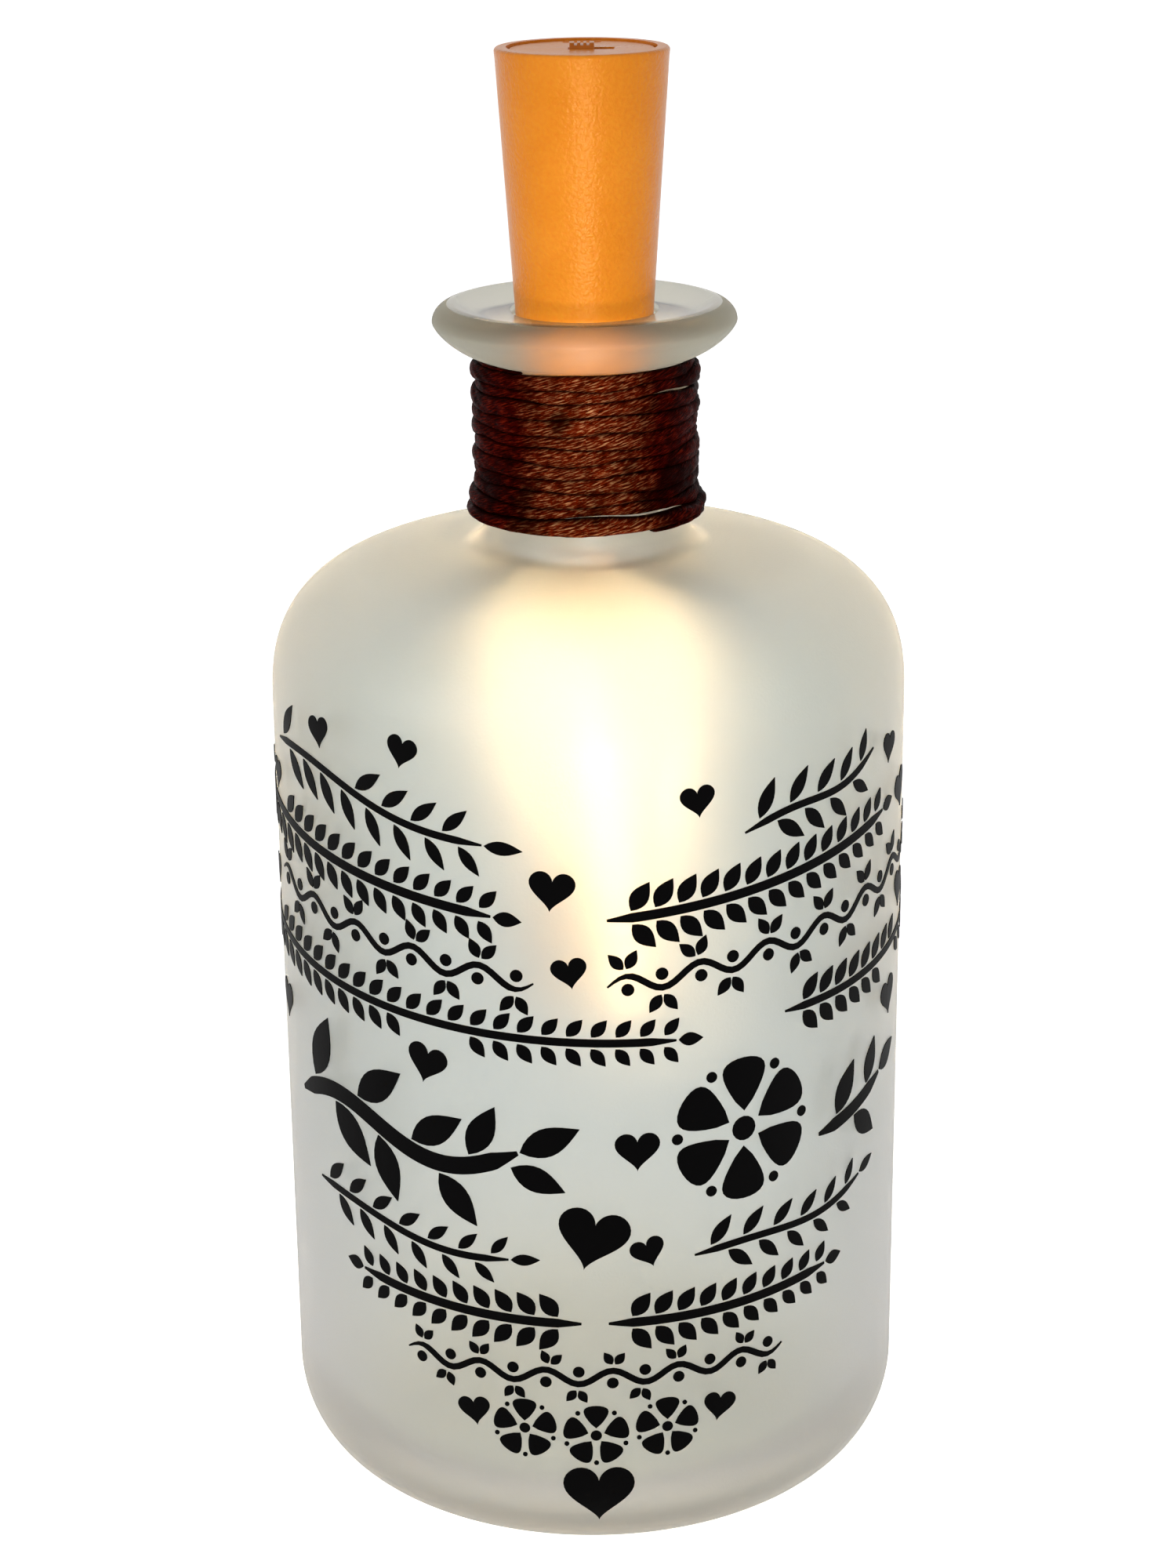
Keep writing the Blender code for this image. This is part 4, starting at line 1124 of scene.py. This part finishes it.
# Beige lacquer with dipped colour bands, and bare tinned caps at the ends.
lacquer = new_material("banded_lacquer", Roughness=0.35, IOR=1.5)
place = add(lacquer, "TexCoord", {}).outputs["Object"]
along = add(lacquer, "SeparateXYZ", {0: place}).outputs["Z"]
share = add(lacquer, "MapRange", {"Value": along, 1: -resistor_half, 2: resistor_half})
bands = add(lacquer, "ValToRGB", {0: share}, (
    (0, "#B8B4AA"), (0.18, "#CBB48A"), (0.3, "#8A4A1E"), (0.37, "#CBB48A"), (0.45, "#16130F"),
    (0.52, "#CBB48A"), (0.6, "#C8781E"), (0.67, "#CBB48A"), (0.82, "#B8B4AA"),
))
bands.color_ramp.interpolation = "CONSTANT"
specks = add(lacquer, "TexNoise", {"Vector": place, "Scale": 1400, "Detail": 3}).outputs["Color"]
shades = add(lacquer, "Mix", {0: 0.15, 6: bands, 7: specks}, data_type="RGBA", blend_type="OVERLAY")
dress(lacquer, Base_Color=shades)

waist = resistor_radius * resistor_waist_share
waist_half = resistor_half - resistor_cap_length
resistor_steps = [(0, resistor_half), (resistor_radius, resistor_half), (resistor_radius, waist_half)]
resistor_steps += [(waist, waist_half), (waist, -waist_half), (resistor_radius, -waist_half)]
resistor_steps += [(resistor_radius, -resistor_half), (0, -resistor_half)]
resistor_mesh = turned("banded_resistor", stepped(resistor_steps, resistor_edge), seal_around)
resistor_place = Matrix.Translation(resistor_middle) @ Matrix.Rotation(math.pi / 2, 4, "Y")
add_piece(resistor_mesh, [lacquer], "stopper", "series_resistor", place=resistor_place)

# Leads
# Two short stranded wires in red and black PVC, from the seal up to the board's solder pads.
lead_diameter = 0.0006
lead_foot_spread = 0.0006
lead_top_spread = 0.0032
lead_points = 24
lead_sides = 16


def round_section(diameter, sides):
    """A round section for a wire."""
    outline = [(diameter / 2 * math.cos(turn), diameter / 2 * math.sin(turn)) for turn in angles(sides)]
    return lambda distance: outline


# Extruded PVC insulation: a soft gloss, with the colour a little uneven along the wire.
leads = (("lead_red", 1, "#8E0F0A", "#C41E16"), ("lead_black", -1, "#101010", "#26262A"))
for name, hand, dark, light in leads:
    low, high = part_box(name)
    lead_path = []
    for step in range(lead_points + 1):
        share = step / lead_points
        eased_share = share * share * (3 - 2 * share)
        across = hand * (lead_foot_spread + (lead_top_spread - lead_foot_spread) * eased_share)
        lead_path.append(Vector((across, 0, low.z + (high.z - low.z) * share)))
    lead_mesh = drawn_along(f"insulated_{name}", lead_path, round_section(lead_diameter, lead_sides))
    insulation = new_material(f"pvc_insulation_{name}", IOR=1.53)
    mottle(insulation, 700, 2, (dark, light), (0.3, 0.5))
    add_piece(lead_mesh, [insulation], "stopper", name)

# Battery carrier
# The cap that closes the shell and the half-round cradle under it, moulded in one from the shell's own
# plastic, with a notch for a fingernail to pull it out by.
carrier_edge = 0.00015
finish_node("battery_carrier", moulded_plastic, carrier_edge)

# Button cells
# Three alkaline button cells, stacked. Each is a deep-drawn steel can, crimped at its lower end over a
# nylon gasket and a smaller cap.
cell_gasket_width = 0.0004
cell_cap_inset = 0.0011
cell_cap_step = 0.0003
cell_edge_round = 0.0005
cell_around = 72


def cell_outline(radius, top, bottom):
    """A button cell's outline: the can's face and side, the crimp, the gasket and the cap."""
    edge = cell_edge_round
    can = round_points((radius - edge, top - edge), edge, edge, 90, 0, 5)
    crimped = round_points((radius - edge, bottom + edge), edge, edge, 0, -90, 5)
    gasket_out = radius - cell_cap_inset + cell_gasket_width
    cap_out = radius - cell_cap_inset
    points = [(0, top), *can, *crimped, (gasket_out, bottom), (gasket_out, bottom + cell_cap_step)]
    points += [(cap_out, bottom + cell_cap_step), (cap_out, bottom), (0, bottom)]
    return without_repeats(points)


# Nickel-plated steel, deep drawn: a cool bright metal with fine rings from the drawing tool and
# faint handling marks.
plated_steel = new_material("nickel_plated_steel", Metallic=1)
mottle(plated_steel, 500, 5, ("#A8A7A2", "#D6D5D0"), (0.16, 0.38))
place = add(plated_steel, "TexCoord", {}).outputs["Object"]
rings = add(
    plated_steel, "TexWave", {"Vector": place, "Scale": 900, "Distortion": 0.6},
    wave_type="RINGS", rings_direction="Z",
).outputs["Fac"]
bumps = add(plated_steel, "Bump", {"Height": rings, "Strength": 0.1, "Distance": 0.00002})
dress(plated_steel, Normal=bumps)

for number in (1, 2, 3):
    low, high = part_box(f"button_cell_{number}")
    cell_mesh = turned(f"crimped_cell_{number}", cell_outline(high.x, high.z, low.z), cell_around)
    add_piece(cell_mesh, [plated_steel], "carrier", f"button_cell_{number}", 30)

# Cell spring
# A conical spring of plated steel wire, which stands on the floor rivet and presses the cells up.
spring_low, spring_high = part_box("cell_spring")
spring_wire_diameter = 0.0004
spring_turns = 3
spring_bottom_radius = 0.0038
spring_top_radius = 0.0024
spring_points_a_turn = 40
spring_bottom = spring_low.z + spring_wire_diameter / 2
spring_rise = spring_high.z - spring_low.z - spring_wire_diameter
spring_path = []
for step in range(spring_turns * spring_points_a_turn + 1):
    share = step / (spring_turns * spring_points_a_turn)
    radius = spring_bottom_radius + (spring_top_radius - spring_bottom_radius) * share
    angle = 2 * math.pi * spring_turns * share
    height = spring_bottom + spring_rise * share
    spring_path.append(Vector((radius * math.cos(angle), radius * math.sin(angle), height)))
spring_mesh = drawn_along("coiled_spring", spring_path, round_section(spring_wire_diameter, lead_sides))
add_piece(spring_mesh, [plated_steel], "carrier", "cell_spring")

# Switch knob
# The ribbed slider of the switch. It stands a little proud of the cap so that a fingertip can move it.
# Dyed acetal, moulded: the cork's orange, deeper and slightly waxy, so it is easily overlooked.
acetal = new_material("moulded_acetal", IOR=1.48)
mottle(acetal, 800, 3, ("#B96714", "#D8862A"), (0.3, 0.45))
finish_node("switch_knob", acetal, fine_edge)

# Floor and light
# A seamless white sweep under and behind the bottle, lit by a broad soft box from the front left, a
# weaker one from the right and a pale sky. A small lamp with a grid, low in front, lights the cork.
sweep_glow = 0.82
sky_level = 0.32
sweep_half_width = 3
sweep_squares = 8
sweep_drop = 0.0002


def seen_directly(owner):
    """1 for rays from the camera, a gloss or a glass, and 0 for the light that falls on things."""
    rays = add(owner, "LightPath", {}).outputs
    seen = add(owner, "Math", {0: rays["Is Camera Ray"], 1: rays["Is Glossy Ray"]}, operation="MAXIMUM")
    return add(owner, "Math", {0: seen, 1: rays["Is Transmission Ray"]}, operation="MAXIMUM")


white_sweep = new_material("white_sweep", Base_Color="#EDEDED", Roughness=0.9, Emission_Color="#FFFFFF")
glow = add(white_sweep, "Math", {0: seen_directly(white_sweep), 1: sweep_glow}, operation="MULTIPLY")
dress(white_sweep, Emission_Strength=glow)
form = bmesh.new()
bmesh.ops.create_grid(form, x_segments=sweep_squares, y_segments=sweep_squares, size=sweep_half_width)
floor_mesh = bpy.data.meshes.new("white_sweep")
form.to_mesh(floor_mesh)
form.free()
floor_mesh.materials.append(white_sweep)
floor = in_scene("white_sweep", floor_mesh)
floor.location.z = -sweep_drop

world = bpy.data.worlds.new("pale_sky")
world.use_nodes = True
bpy.context.scene.world = world
sky_strength = add(world, "MapRange", {"Value": seen_directly(world), 3: sky_level, 4: 1})
feed(world.node_tree.nodes["Background"], {"Color": "#FFFFFF", "Strength": sky_strength})


def soft_box(name, place, aim, width, power, fan=180):
    """A square lamp that faces a point and whose light fans out by an angle in degrees."""
    lamp = bpy.data.lights.new(name, "AREA")
    lamp.size, lamp.energy, lamp.spread = width, power, math.radians(fan)
    made = in_scene(name, lamp)
    made.location = place
    made.rotation_mode = "QUATERNION"
    made.rotation_quaternion = (Vector(aim) - Vector(place)).to_track_quat("-Z", "Y")


soft_box("cork_light", (0.012, -0.5, 0.1), (0, 0, 0.176), 0.045, 0.0115, 15)
soft_box("left_light", (-0.6, -0.5, 0.5), (0, 0, 0.1), 0.5, 1.2)
soft_box("right_light", (0.6, -0.5, 0.5), (0, 0, 0.1), 0.5, 0.4)
